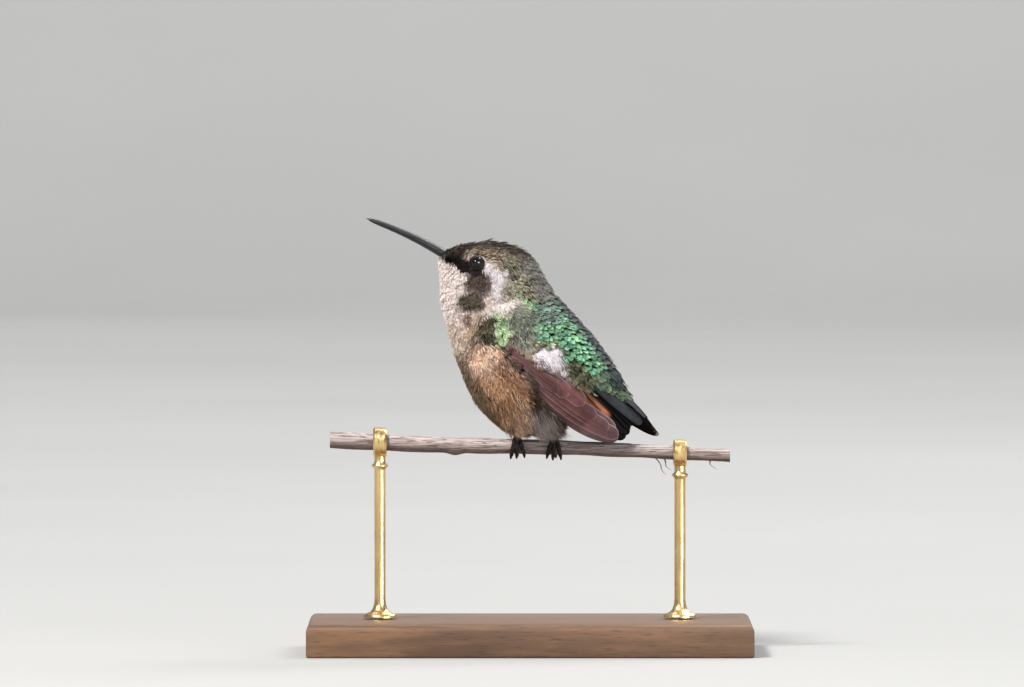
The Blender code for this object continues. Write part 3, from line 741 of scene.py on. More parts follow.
def ovalMask(x, z, spot, size, turn, soft):
    turn = math.radians(turn)
    dx, dz = x - spot[0], z - spot[1]
    u = (dx * math.cos(turn) + dz * math.sin(turn)) / size[0]
    v = (-dx * math.sin(turn) + dz * math.cos(turn)) / size[1]
    edge = soft / min(size)
    return 1 - smoothStep(1 - edge, 1 + edge, np.sqrt(u * u + v * v))


def waver(points, size, seed):
    # a slow, smooth change over the body, about -1 to 1
    picks = np.random.default_rng(seed)
    total = np.zeros(len(points))
    for _ in range(6):
        way = unit(picks.normal(size=3))
        total += np.sin((points @ way) / (size * mm) * 2 * math.pi + picks.uniform(0, 6.28))
    return total / 2.4


def plumageAt(points):
    # the look of the feathers that grow at these points: colours, gloss, length and so on
    x, z = points[:, 0] / mm, points[:, 2] / mm
    calm = 1 - 0.7 * np.exp(-((x - eyeCentre[0] / mm) ** 2 + (z - eyeCentre[2] / mm) ** 2) / 6)
    x = x + calm * (0.30 * waver(points, 2.2, 11) + 0.16 * waver(points, 0.9, 12))
    z = z + calm * (0.30 * waver(points, 2.2, 13) + 0.16 * waver(points, 0.9, 14))
    scale = np.array([linear(c) for c in underside["colours"]])
    look = {"colour": np.stack([np.interp(z, underside["heights"], scale[:, k]) for k in range(3)], 1)}
    look["rim"] = look["colour"] * 1.25
    for key, value in plainLook.items():
        look[key] = np.full(len(x), value)
    for spot in markings:
        if isinstance(spot["shape"], list):
            mask = insideOutline(x, z, spot["shape"], spot["soft"])
        else:
            mask = ovalMask(x, z, *spot["shape"], spot["soft"])
        if spot["ridge"]:
            mask = mask * (1 - smoothStep(*spot["ridge"], np.abs(points[:, 1]) / mm))
        for key in ("colour", "rim"):
            look[key] = blend(look[key], spot[key], mask[:, None])
        for key, value in {"gloss": plainLook["gloss"], **spot["look"]}.items():
            look[key] = blend(look[key], value, mask)
    # feathers get shorter towards the bill
    nearBill = np.exp(-((x + 15.0) ** 2 + (z - 70.6) ** 2) / 20)
    look["long"] = look["long"] * (1 - 0.55 * nearBill)
    look["gap"] = look["gap"] * (1 - 0.35 * nearBill)
    return look


wingField = {"low": (-13.0, 35.5), "high": (20.0, 63.0), "cell": 0.25}


def readWingField():
    # how far out the folded wing's outer face lies, and a soft mask of its outline
    tree = treeOf(("wing_left",))
    (lowX, lowZ), cell = wingField["low"], wingField["cell"]
    countX = int((wingField["high"][0] - lowX) / cell)
    countZ = int((wingField["high"][1] - lowZ) / cell)
    out = np.full((countX, countZ), np.nan)
    for i, j in itertools.product(range(countX), range(countZ)):
        start = Vector(((lowX + i * cell) * mm, -0.05, (lowZ + j * cell) * mm))
        spot = tree.ray_cast(start, Vector((0, 1, 0)), 0.05)[0]
        if spot is not None:
            out[i, j] = -spot.y
    inside = ~np.isnan(out)
    mask = inside.astype(float)
    for _ in range(3):
        for axis in (0, 1):
            mask = np.maximum(mask, (np.roll(mask, 1, axis) + np.roll(mask, -1, axis)) / 2)
    return np.dstack([soften(fillHoles(out, ~inside), 2), soften(mask, 2)])


wingGrid = readWingField()


def sampleWing(x, z):
    # x and z in metres: the wing's outer face and its soft mask there
    row = (x / mm - wingField["low"][0]) / wingField["cell"]
    column = (z / mm - wingField["low"][1]) / wingField["cell"]
    column = np.clip(column, 0, wingGrid.shape[1] - 1.01)
    found = sampleGrid(wingGrid, row, column)
    edge = (row < 0) | (row > wingGrid.shape[0] - 2)
    return found[..., 0], np.where(edge, 0, found[..., 1])


# Where the stiff feathers show, so that no body feather grows there or runs far into it.
openWing = [(-3.9, 55.3), (-3.0, 55.7), (-0.4, 53.6), (1.6, 52.1), (3.4, 51.3), (6.4, 49.9), (9.2, 47.9),
            (13.0, 44.6), (16.2, 40.8), (15.6, 38.2), (10.8, 38.0), (6.3, 40.4), (3.4, 43.0), (1.4, 45.8),
            (0.2, 48.4), (-1.0, 50.6), (-2.8, 52.8), (-4.1, 54.2)]
openTail = [(7.6, 48.7), (9.4, 47.9), (11.8, 46.9), (13.4, 46.6), (15.4, 46.1), (18.7, 45.4), (24, 44),
            (24, 36), (14, 38), (9, 44), (6.6, 48.4)]
print("wing field read from the frame")

coatForm = {
    "seed": 20, "candidates": 110000,    # random places tried as roots
    "closer": (0.88, 0.78),              # of the marking's gap, on the body and on the head
    # where feathers lie another way: place, reach, heading and strength
    "drifts": (((3.3, 52.0), 3.2, (0.36, -0.93), 0.9),      # white patch droops over the wing
               ((-8.0, 46.0), 6.0, (0.45, -0.89), 0.5),     # flank
               ((3.6, 42.0), 3.0, (0.25, -0.97), 0.8),      # leg puff
               ((-13.0, 60.0), 4.0, (0.05, -1.0), 0.4)),    # throat
    "eyeParting": (0.9, 2.1),            # feathers part round the eye: strength and reach
    "rise": 0.55,                        # how soon a feather comes up out of the coat
    "under": (0.75, 0.35),               # share with a feather of the under layer, tight and loose
    "underDepth": 0.16,
    "scaly": 0.62,                       # share of tight feathers that are whole vanes
    "headShare": 0.30,                   # of the rows
    "overFlank": 2.6, "overPatch": 2.2, "overWing": 0.6, "overTail": 0.7,  # reach over stiff feathers
    "across": 6, "thick": 0.05, "vaneShares": np.array([0, 0.35, 0.62, 0.82, 0.95, 1.0]),
    "blades": 13, "fanShares": np.array([0, 0.50, 0.84, 1.0]),
    "vanesEach": 1900, "fansEach": 940,  # most feathers in one piece
    # for tight feathers and for loose ones: how unevenly they point, how far their edges bend
    # down, half the angle of a fan and how unruly its barbs are
    "yaw": (0.06, 0.16), "cup": (0.06, 0.02), "fan": (0.42, 0.40), "wild": (0.3, 1.15),
    # painted shade: each feather is darker towards its root, where the feathers over it would shade it
    "paintedRootShade": (0.36, 0.45, 0.8),      # brightness at the root: tight, loose and pale feathers
    "hueDrift": (0.20, 0.03, -0.14),     # how shining feathers differ, in red, green and blue
    "flecked": 0.5,                      # brightness of the dark ones
    "ragged": 0.06,                      # how uneven a vane's edge is
    "barbTaper": (0.8, 1.05, 0.85), "outerShorter": 0.24,
}


def lieOfCoat():
    # direction in which feathers point at every place of the body surface
    lie = unit(alongRow)
    x, z = surface[..., 0] / mm, surface[..., 2] / mm
    sideways = np.abs(normals[..., 1])
    for spot, size, heading, strength in coatForm["drifts"]:
        near = np.exp(-((x - spot[0]) ** 2 + (z - spot[1]) ** 2) / size ** 2)
        share = (near * strength * sideways)[..., None]
        lie = blend(lie, np.array((heading[0], 0.0, heading[1])), share)
    strength, reach = coatForm["eyeParting"]
    for _, side in bothSides:
        away = surface - eyeCentre * (1, -side, 1)
        gap = np.linalg.norm(away, axis=-1, keepdims=True)
        lie = lie + unit(away) * strength * np.exp(-(gap / (reach * mm)) ** 2)
    return unit(lie - normals * (lie * normals).sum(-1, keepdims=True))


def flowRates(direction):
    # rows and columns passed for each metre travelled along a tangent direction
    a = (alongRow * alongRow).sum(-1)
    b = (alongRow * alongColumn).sum(-1)
    c = (alongColumn * alongColumn).sum(-1)
    p = (alongRow * direction).sum(-1)
    q = (alongColumn * direction).sum(-1)
    det = np.maximum(a * c - b * b, 1e-18)
    return (c * p - b * q) / det, (a * q - b * p) / det


lie = lieOfCoat()
field = np.dstack([surface, normals, lie, coatDepth, *flowRates(lie), *flowRates(np.cross(normals, lie))])


def walk(row, column, yaw, length, shares):
    # from each root, follows the lie of the coat over the body, turned aside by yaw
    row, column = row.copy(), column.copy()
    places, ups, sides, depths = [], [], [], []
    turnAhead, turnAside = np.cos(yaw), np.sin(yaw)
    for k in range(len(shares)):
        here = sampleGrid(field, row, column)
        up = unit(here[:, 3:6])
        ahead = here[:, 6:9]
        forward = ahead * turnAhead[:, None] + np.cross(up, ahead) * turnAside[:, None]
        places.append(here[:, 0:3])
        ups.append(up)
        sides.append(unit(np.cross(up, forward)))
        depths.append(here[:, 9])
        if k + 1 < len(shares):
            stride = length * (shares[k + 1] - shares[k])
            row = row + (here[:, 10] * turnAhead + here[:, 12] * turnAside) * stride
            column = column + (here[:, 11] * turnAhead + here[:, 13] * turnAside) * stride
    return np.array(places), np.array(ups), np.array(sides), np.array(depths)


def firstHit(roots, test):
    # how many eighths of its length each feather goes before the test is true, or 9
    places = walk(roots["row"], roots["column"], roots["yaw"], roots["length"], np.linspace(0, 1, 9))[0]
    hits = test(places)
    return np.where(hits.any(axis=0), hits.argmax(axis=0), 9)


def clearEye(roots):
    # shortens feathers that would run over the eyeball
    first = firstHit(roots, lambda places: np.linalg.norm(toLeft(places) - eyeCentre, axis=-1)
                     < eyeRadius * 1.02)
    roots["length"] = roots["length"] * np.where(first > 8, 1.0, np.maximum(first - 0.7, 0.3) / 8)
    return roots


def overOutline(points, outline):
    # whether points in metres, seen from the side, lie inside an outline
    x, z = points[..., 0] / mm, points[..., 2] / mm
    return (insideOutline(x.ravel(), z.ravel(), outline, 0.05) > 0.5).reshape(x.shape)


def clearOpen(roots, outline, allowed):
    # shortens feathers that run further than allowed into an open area
    first = firstHit(roots, lambda places: overOutline(places, outline)
                     & (np.abs(places[..., 1]) > 1.0 * mm))
    longest = roots["length"] * first / 8 + allowed * mm
    roots["length"] = np.minimum(roots["length"], np.maximum(longest, 0.5 * mm))
    return roots


rng = np.random.default_rng(coatForm["seed"])


def scatterRoots():
    # evenly spread random roots over the body, none closer than the spacing there
    count = coatForm["candidates"]
    chance = np.linalg.norm(np.cross(alongRow, alongColumn), axis=-1)[:bodyRows - 1].ravel()
    picks = rng.choice(len(chance), count, p=chance / chance.sum())
    row = picks // bodyColumns + rng.random(count)
    column = picks % bodyColumns + rng.random(count)
    points = sampleGrid(surface, row, column)
    onBody, onHead = coatForm["closer"]
    gaps = plumageAt(points)["gap"] * np.where(points[:, 2] > 60 * mm, onHead, onBody) * mm
    cells = np.floor(points / mm).astype(int)
    around = list(itertools.product((-1, 0, 1), repeat=3))
    kept, chosen = {}, []
    for i in range(count):
        x, y, z = points[i]
        cx, cy, cz = cells[i]
        limit = gaps[i] ** 2
        near = (other for dx, dy, dz in around for other in kept.get((cx + dx, cy + dy, cz + dz), ()))
        if all((px - x) ** 2 + (py - y) ** 2 + (pz - z) ** 2 >= limit for px, py, pz in near):
            kept.setdefault((cx, cy, cz), []).append((x, y, z))
            chosen.append(i)
    return row[chosen], column[chosen], points[chosen]


rootRow, rootColumn, rootPoint = scatterRoots()
rootNormal = unit(sampleGrid(normals, rootRow, rootColumn))
eyeGap = np.linalg.norm(toLeft(rootPoint) - eyeCentre, axis=1)
sideways = np.abs(rootNormal[:, 1])
hidden = ((overOutline(rootPoint, openWing) & (sideways > 0.25))
          | (overOutline(rootPoint, openTail) & (sideways > 0.35)))
keep = (eyeGap > eyeRadius * 1.12) & ~hidden & (rootRow > 1.5)
rootRow, rootColumn, rootPoint, rootNormal = (
    values[keep] for values in (rootRow, rootColumn, rootPoint, rootNormal))
print("feather roots:", len(rootRow))


def vaneTemplate(steps, across):
    # a thin closed leaf: top grid and underside that share the rim
    top = np.arange((steps + 1) * across).reshape(steps + 1, across)
    bottom = top.copy()
    count = top.size
    inner = []
    for k in range(1, steps):
        for j in range(1, across - 1):
            bottom[k, j] = count
            inner.append((k, j))
            count += 1
    triangles = []
    for k, j in itertools.product(range(steps), range(across - 1)):
        # two corners are split the other way, or both sides would have the same triangle there
        corner = (k, j) in ((0, across - 2), (steps - 1, 0))
        for grid, way in ((top, -1), (bottom, 1)):
            ring = [grid[k, j], grid[k, j + 1], grid[k + 1, j + 1], grid[k + 1, j]]
            a, b, c, d = ring[1:] + ring[:1] if corner else ring
            triangles += [(a, b, c)[::way], (a, c, d)[::way]]
    return np.array(triangles), np.array(inner)


def vaneWidth(share, blunt, stem=0.22, tip=0.14):
    # half width along a feather, from 0 to 1
    rise = np.sin(np.clip(share / blunt, 0, 1) * math.pi / 2) ** 0.8
    beyond = np.clip((share - blunt) / (1 - blunt), 0, 1)
    fall = np.sqrt(np.clip(1 - beyond ** 2.3, 0.0, 1))
    return (stem + (1 - stem) * rise) * np.maximum(fall, tip)


def overWing(points, height, flags):
    # lifts feathers on to the folded wing's outer face where they cross it
    face, mask = sampleWing(points[..., 0], points[..., 2])
    out = np.abs(points[..., 1])
    share = mask * flags * smoothStep(face - 3.6 * mm, face - 2.2 * mm, out)
    points = points.copy()
    points[..., 1] = np.sign(points[..., 1]) * lerp(out, np.maximum(out, face + height), share)
    return points


def heightOver(high, depths):
    # how far above the wing's face a point of a feather lies that crosses it
    return 0.06 * mm + (high + depths[0]) * 0.42


def pointOrder(levels, across, inner):
    # level and column of each point of a leaf: its top grid, then the inner underside
    return np.concatenate([np.argwhere(np.ones((levels, across))), inner]).T


def layVanes(name, roots):
    # body feathers as overlapping leaves; roots holds one value for each feather
    shares, across, thick = (coatForm[key] for key in ("vaneShares", "across", "thick"))
    roots = clearEye(roots)
    places, ups, sides, depths = walk(roots["row"], roots["column"], roots["yaw"],
                                      roots["length"], shares)
    count, levels = len(roots["row"]), len(shares)
    triangles, inner = vaneTemplate(levels - 1, across)
    top = np.zeros((count, levels, across, 3))
    heights, gaps = np.zeros((2, count, levels, across))
    local = np.random.default_rng(count)
    for k, share in enumerate(shares):
        half = roots["width"] / 2 * vaneWidth(share, roots["blunt"])
        rise = -depths[0] + (depths[0] + roots["lift"]) * share ** roots["rise"]
        ragged = local.normal(0, coatForm["ragged"], (across, count)) * (1 if k > 2 else 0)
        for j, b in enumerate(np.linspace(-1, 1, across)):
            wide = b * half * (1 + (ragged[j] if abs(b) == 1 else 0))
            sag = roots["cup"] * roots["width"] * b * b * (0.4 + 0.6 * share)
            high = rise - sag + 0.03 * mm * (1 - abs(b))
            top[:, k, j] = places[k] + sides[k] * wide[:, None] + ups[k] * high[:, None]
            heights[:, k, j] = heightOver(high, depths)
            side = (1 - abs(b)) * half
            gaps[:, k, j] = np.minimum(side, roots["length"] * (1 - share)) / roots["width"] * 2
    flags = roots["over"][:, None, None]
    upAll = np.transpose(ups, (1, 0, 2))[:, :, None, :]
    under = overWing(top - upAll * thick * mm, heights - thick * 0.6 * mm, flags)
    top = overWing(top, heights, flags)
    points = np.concatenate([top.reshape(count, -1, 3), under[:, inner[:, 0], inner[:, 1]]], axis=1)
    k, j = pointOrder(levels, across, inner)
    roots["edgeGap"] = gaps[:, k, j]
    return feathersToPiece(name, points, triangles, np.stack([j / (across - 1), shares[k]], 1), roots)


def layFans(name, roots):
    # each root carries a fan of tapering barbs, with the feather's middle colour on the inner
    # ones and its fringe colour on the outer ones and at the tips
    shares, blades = coatForm["fanShares"], coatForm["blades"]
    roots = clearEye(roots)
    count = len(roots["row"])
    total = count * blades
    local = np.random.default_rng(count)
    owner = np.repeat(np.arange(count), blades)
    own = {key: value[owner] for key, value in roots.items()}
    slot = np.tile(np.linspace(-1, 1, blades), count)
    yaw = own["yaw"] + slot * own["fan"] + local.normal(0, 0.06, total) * own["wild"]
    length = own["length"] * (1 - coatForm["outerShorter"] * slot ** 2)
    length = length * (1 + local.uniform(-0.18, 0.06, total) * own["wild"])
    width = local.uniform(0.8, 1.2, total) * own["barb"]
    shiftAlong = local.normal(0, 0.08, total) * mm * own["wild"]
    shiftAside = (local.normal(0, 0.05, total) * own["wild"] + slot * 0.12) * mm
    here = sampleGrid(field, own["row"], own["column"])
    row = own["row"] + here[:, 10] * shiftAlong + here[:, 12] * shiftAside
    column = own["column"] + here[:, 11] * shiftAlong + here[:, 13] * shiftAside
    places, ups, sides, depths = walk(row, column, yaw, length, shares)
    lift = own["lift"] * (1 + local.uniform(-0.5, 0.5, total) * own["wild"])
    lift = lift - own["cup"] * own["length"] * slot ** 2
    sway = local.normal(0, 0.07, total) * mm * own["wild"]
    crest = (0.30 + 0.3 * own["loose"])[:, None]
    rings = []
    for k, share in enumerate(shares):
        high = -depths[0] + (depths[0] + lift) * share ** own["rise"]
        bend = sides[k] * (sway * share * share * 2)[:, None]
        middle = places[k] + ups[k] * high[:, None] + bend
        middle[:, 2] -= own["droop"] * share * share
        height = heightOver(high, depths)
        if k == len(shares) - 1:
            rings.append(overWing(middle, height, own["over"])[:, None])
            continue
        half = (width * coatForm["barbTaper"][k] / 2)[:, None]
        left = overWing(middle - sides[k] * half, height, own["over"])
        right = overWing(middle + sides[k] * half, height, own["over"])
        top = overWing(middle + ups[k] * half * crest * 2, height + (half * crest)[:, 0] * 2, own["over"])
        rings.append(np.stack([left, right, top], axis=1))
    triangles = [(0, 2, 1)]
    for a in range(3 * len(shares) - 6):
        b = a - 2 if a % 3 == 2 else a + 1
        triangles += [(a, b, b + 3), (a, b + 3, a + 3)]
    last = 3 * (len(shares) - 2)
    triangles += [(last + i, last + (i + 1) % 3, last + 3) for i in range(3)]
    along = np.append(np.repeat(shares[:-1], 3), 1.0)
    vaneUv = np.stack([np.append(np.tile([0.4, 0.6, 0.5], len(shares) - 1), 0.5), along], 1)
    grown = {key: own[key] for key in ("row", "column", "gloss", "paintedRootShade")}
    bright = np.clip(1 + local.normal(0, 0.10, total) * (1 + own["gloss"]), 0.5, 1.6)[:, None]
    for key in ("colour", "rim"):
        grown[key] = np.clip(own[key] * bright, 0, 1)
    outer = own["fringe"] * smoothStep(0.5, 1.0, np.abs(slot))
    tip = own["fringe"][:, None] * np.interp(along, (0.5, 0.84, 1.0), (0.0, 0.35, 1.0))[None]
    grown["fringed"] = np.maximum(outer[:, None], tip)
    return feathersToPiece(name, np.concatenate(rings, axis=1), np.array(triangles), vaneUv, grown)


def feathersToPiece(name, points, triangles, vaneUv, roots):
    # joins all the feathers into one mesh with its colours and maps
    count, size = points.shape[:2]
    piece = makeMesh(name, points.reshape(-1, 3), repeatFaces(triangles, count, size))
    along = vaneUv[:, 1][None, :, None]
    dim = roots["paintedRootShade"][:, None, None]
    colour = np.repeat(roots["colour"][:, None, :], size, axis=1)
    if "fringed" in roots:
        colour = blend(colour, roots["rim"][:, None, :], roots["fringed"][:, :, None])
    # painted shade: colours darken from tip to root, where the feathers above would shade them
    shaded = colour * (dim + (1 - dim) * along ** 1.2)
    addColour(piece, "plumage", shaded.reshape(-1, 3))
    addValue(piece, "gloss", np.repeat(roots["gloss"], size))
    if "edgeGap" in roots:
        addColour(piece, "rimTint", np.repeat(roots["rim"], size, axis=0))
        addValue(piece, "edgeGap", roots["edgeGap"].ravel())
    addUv(piece, "vane", np.tile(vaneUv, (count, 1)))
    centre = np.stack([roots["column"] % bodyColumns / bodyColumns * 0.98 + 0.01,
                       roots["row"] / bodyRows * 0.98 + 0.01], 1)
    addUv(piece, "OFBake", (centre[:, None, :] + ((vaneUv - 0.5) * 0.003)[None]).reshape(-1, 2))
    return piece


def growFeathers():
    # a feather takes the marking where its outer half shows, not where its root is hidden
    reach = plumageAt(rootPoint)["long"] * mm
    shown = walk(rootRow, rootColumn, np.zeros(len(reach)), reach, np.array([0, 0.25, 0.5, 0.72]))[0][-1]
    look = plumageAt(shown)
    count = len(rootRow)
    jitter = rng.normal(0, 1, (6, count))
    loose = look["loose"]
    bright = look["colour"].mean(1)
    tight, free, pale = coatForm["paintedRootShade"]
    roots = {
        "row": rootRow, "column": rootColumn, "loose": loose,
        "yaw": jitter[0] * lerp(*coatForm["yaw"], loose) + 0.22 * loose * waver(rootPoint, 4.0, 3),
        "length": look["long"] * mm * np.clip(1 + 0.12 * jitter[1], 0.7, 1.3),
        "blunt": np.clip(0.62 + 0.05 * jitter[2], 0.5, 0.75),
        "lift": np.abs(jitter[3] + 0.7 * waver(rootPoint, 2.6, 4)) * look["lift"] * mm,
        "rise": np.full(count, coatForm["rise"]),
        "cup": lerp(*coatForm["cup"], loose),
        "over": (np.abs(rootNormal[:, 1]) > 0.25).astype(float),
        "colour": look["colour"], "rim": look["rim"], "gloss": look["gloss"],
        "fringe": look["fringe"], "droop": look["droop"] * mm, "barb": look["barb"] * mm,
        "paintedRootShade": lerp(lerp(tight, free, loose), pale, smoothStep(0.2, 0.8, bright)),
        "fan": lerp(*coatForm["fan"], loose), "wild": lerp(*coatForm["wild"], loose ** 2),
    }
    roots["width"] = np.clip(roots["length"] * look["plump"], 0.25 * mm, 2.0 * mm)
    # shining feathers drift between yellow-green, green and blue-green from one to the next
    drift = jitter[4][:, None] * np.array(coatForm["hueDrift"]) * look["gloss"][:, None]
    flecked = rng.random(count) < look["fleck"]
    # brightness differs at random from feather to feather, and in slow patches that stand in for painted
    # shade between locks of feathers
    tone = 1 + look["vary"] * (0.8 * jitter[5] + 0.5 * waver(rootPoint, 1.7, 5))
    dark = np.where(flecked, coatForm["flecked"], 1.0)[:, None]
    colour = np.clip(roots["colour"] * (1 + drift), 0, 1) * dark
    roots["colour"] = colour * np.clip(tone, 0.4, 1.7)[:, None]
    roots["rim"] = roots["rim"] * np.clip(1 + 0.5 * (tone - 1), 0.6, 1.2)[:, None]
    roots["fringe"] = np.where(flecked, np.minimum(roots["fringe"], 0.55), roots["fringe"])
    roots = clearOpen(roots, openTail, coatForm["overTail"])
    ahead = (rootPoint[:, 0] < 1.2 * mm) & (rootPoint[:, 2] < 54 * mm)
    reach = np.where(bright > 0.6, coatForm["overPatch"], coatForm["overWing"])
    return clearOpen(roots, openWing, np.where(ahead, coatForm["overFlank"], reach))


def growCoat():
    roots = growFeathers()
    count = len(rootRow)
    under = rng.random(count) < lerp(*coatForm["under"], roots["loose"])
    scaly = rng.random(count) < coatForm["scaly"] * (1 - smoothStep(0.2, 0.5, roots["loose"]))
    head = rootRow < coatForm["headShare"] * bodyRows
    total = 0
    for kind, mask, layer, material, limit in (
            ("Down", under, layVanes, bodyVanes, coatForm["vanesEach"]),
            ("Vanes", scaly, layVanes, bodyVanes, coatForm["vanesEach"]),
            ("Fans", ~scaly, layFans, featherBarbs, coatForm["fansEach"])):
        for part, there in (("head", head), ("body", ~head)):
            picks = np.flatnonzero(mask & there)
            pieces = max(1, math.ceil(len(picks) / limit))
            for number in range(pieces):
                share = picks[number * len(picks) // pieces:(number + 1) * len(picks) // pieces]
                chosen = {key: value[share] for key, value in roots.items()}
                if kind == "Down":
                    # the under layer is painted darker, as shade beneath the top feathers, and lies a
                    # little deeper
                    paintedUnderShade = lerp(0.55, 0.85, smoothStep(0.2, 0.8, chosen["colour"].mean(1)))
                    chosen["colour"] = chosen["colour"] * paintedUnderShade[:, None]
                    chosen["rim"] = chosen["colour"] * 1.1
                    chosen["lift"] = np.full(len(share), -coatForm["underDepth"] * mm)
                    chosen["length"] = chosen["length"] * 0.95
                piece = finishPiece(layer(f"{part}{kind}_{number + 1}", chosen), material)
                total += len(piece.data.polygons)
            print(part + kind, len(picks), "feathers")
    print("coat triangles:", total)


def buildSkin():
    inner = surface[:bodyRows] - normals[:bodyRows] * coatDepth[:bodyRows, :, None]
    rows, columns = inner.shape[:2]
    caps, tails = ([blend(end.mean(axis=0), end, s) for s in shares]
                   for end, shares in ((inner[0], (0.02, 0.6)), (inner[-1], (0.8, 0.45, 0.02))))
    rings = np.concatenate([caps, inner, tails])
    piece = makeMesh("skin", rings.reshape(-1, 3), ringFaces(len(rings), columns))
    faceOutwards(piece)
    addColour(piece, "plumage", plumageAt(rings.reshape(-1, 3))["colour"])
    rowUv = np.clip(np.arange(len(rings)) - len(caps), 0, rows) / bodyRows * 0.98 + 0.01
    row, column = np.divmod(cornerVertices(piece.data), columns)
    faces = column.reshape(-1, 4)
    wraps = (faces.max(axis=1) == columns - 1) & (faces.min(axis=1) == 0)
    column = np.where(np.repeat(wraps, 4) & (column == 0), columns, column)
    addUv(piece, "OFBake", np.stack([column / columns * 0.98 + 0.01, rowUv[row]], 1))
    finishPiece(piece, downySkin, ("head", "neck", "trunk"))


buildSkin()
growCoat()

stiffForm = {"across": 9, "vaneMap": (0.06, 0.88)}


def stiffFeather(centre, across, up, half, vane):
    # one long vane from arrays along its shaft: middle points, unit side and up vectors and
    # half widths in metres; gives its points, its edge distances and its places on the vane
    steps, columns = len(centre) - 1, stiffForm["across"]
    spread = np.sin(np.linspace(-1, 1, columns) * math.pi / 2)
    length = np.linalg.norm(np.diff(centre, axis=0), axis=1)
    travelled = np.concatenate([[0], np.cumsum(length)])
    inner = vaneTemplate(steps, columns)[1]
    top, bottom = np.zeros((2, steps + 1, columns, 3))
    gap = np.zeros((steps + 1, columns))
    for j, b in enumerate(spread):
        width = half * b * np.where(b > 0, vane["inner"], 2 - vane["inner"])
        camber = -vane["camber"] * mm * b * b * np.minimum(half / (1.2 * mm), 1)
        ridge = 0.05 * mm * math.exp(-(b / 0.09) ** 2)
        top[:, j] = centre + across * width[:, None] + up * (camber + ridge)[:, None]
        bottom[:, j] = top[:, j] - up * (vane["thick"] * mm * (1 - 0.6 * abs(b)))
        gap[:, j] = np.minimum(half * (1 - abs(b)), travelled[-1] - travelled) / mm
    points = np.concatenate([top.reshape(-1, 3), bottom[inner[:, 0], inner[:, 1]]])
    k, j = pointOrder(steps + 1, columns, inner)
    return points, gap[k, j], np.stack([(spread[j] + 1) / 2, k / steps], 1)


def joinStiff(name, feathers, steps, slot, replaces=()):
    # each feather: its points, edge distances, places on the vane, colours and rim colours
    count, size = len(feathers), len(feathers[0][0])
    points, gaps, places, colours, rims = (np.concatenate(values) for values in zip(*feathers))
    triangles = vaneTemplate(steps, stiffForm["across"])[0]
    piece = makeMesh(name, points, repeatFaces(triangles, count, size))
    addColour(piece, "plumage", colours)
    addColour(piece, "rimTint", rims)
    addValue(piece, "edgeGap", gaps)
    addUv(piece, "vane", places)
    start, broad = stiffForm["vaneMap"]
    low = (np.repeat(np.arange(count), size) + start) / count
    addUv(piece, "OFBake", np.stack([places[:, 1] * 0.98 + 0.01, low + places[:, 0] * broad / count], 1))
    faceOutwards(piece)
    finishPiece(piece, tailFeathers if "tail" in slot else wingFeathers, replaces)


wingForm = {
    # each feather: root, middle and tip of its shaft as (x, z), then its half width
    "secondaries": [((-1.8, 52.66), (0.18, 51.22), (1.98, 49.6), 0.99),
                    ((-1.44, 52.48), (0.72, 50.86), (2.7, 49.06), 1.08),
                    ((-1.08, 52.12), (1.44, 50.32), (3.78, 48.34), 1.26),
                    ((-0.72, 51.76), (2.34, 49.78), (5.04, 47.62), 1.31),
                    ((-0.36, 51.4), (3.5, 49.25), (6.84, 46.45), 1.44),
                    ((0.0, 51.0), (5.0, 48.45), (9.72, 44.84), 1.46)],
    "primaries": [((0.18, 50.14), (6.12, 46.18), (11.79, 42.25), 1.37),
                  ((0.36, 49.24), (7.56, 44.16), (14.13, 40.24), 1.37),
                  ((0.54, 48.34), (8.28, 42.58), (15.93, 39.16), 1.37),
                  ((0.54, 47.62), (8.28, 41.01), (15.84, 38.71), 1.08)],
    "strips": 6,         # outermost primaries, spread between the last two above
    "coverts": {"count": 22, "seed": 5, "steps": 12, "blunt": 0.7, "dim": 0.5, "rowGap": 0.6,
                "acrossFrom": (-3.6, 2.6), "downFrom": (54.6, 49.8), "long": (1.9, 2.6),
                "half": (0.62, 0.8)},
    "steps": 26,         # along a feather
    "vane": {"inner": 1.06, "camber": 0.16, "thick": 0.07},
    "depths": (7.5, 13.5),               # layers of the first primary and of the inner one
    # the primaries are darker, partly in their own colour, partly as painted shade where they lie under the
    # secondaries
    "dims": (0.74, 0.62, 0.8),           # brightness of upper, lower and inner primaries
    "spacing": 0.075,    # distance between layers
    "inner": ((0.5, 50.2), (7.9, 45.25), (15.3, 39.95), 1.3),
    "upper": "7f5454", "middle": "774c4b", "rim": "a98f90", "tip": "5a4044",
}


def parabola(points, t):
    a, b, c = (np.array(p, float) for p in points)
    t = t[:, None]
    return a * (2 * t - 1) * (t - 1) + b * 4 * t * (1 - t) + c * t * (2 * t - 1)


def wingFeather(side, line, layer, steps=wingForm["steps"], blunt=0.86, dim=1.0):
    # line: root, middle and tip of the shaft, then the half width
    t = 1 - (1 - np.linspace(0, 1, steps + 1)) ** 1.6
    x, z = (parabola(line[:3], t) * mm).T
    thin = 1 - 0.35 * smoothStep(4 * mm, 16 * mm, x)
    out = sampleWing(x, z)[0] + 0.25 * mm - layer * wingForm["spacing"] * thin * mm
    centre = np.stack([x, side * out, z], 1)
    ahead = unit(np.gradient(centre, axis=0))
    up = unit(np.tile((0.0, side, 0.0), (len(t), 1)) - ahead * (ahead[:, 1] * side)[:, None])
    across = np.cross(ahead, up) * side
    half = line[3] * mm * vaneWidth(t, blunt, 0.35, 0.06)
    points, gaps, places = stiffFeather(centre, across, up, half, wingForm["vane"])
    here = points[:, 0][:, None] / mm
    colour = blend(linear(wingForm["upper"]), linear(wingForm["middle"]), smoothStep(-2.0, 6.0, here))
    colour = blend(colour, linear(wingForm["tip"]), smoothStep(9.0, 16.0, here))
    rim = np.tile(linear(wingForm["rim"]) * dim * (1 if dim > 0.7 else 0.6), (len(points), 1))
    return points, gaps, places, colour * dim, rim


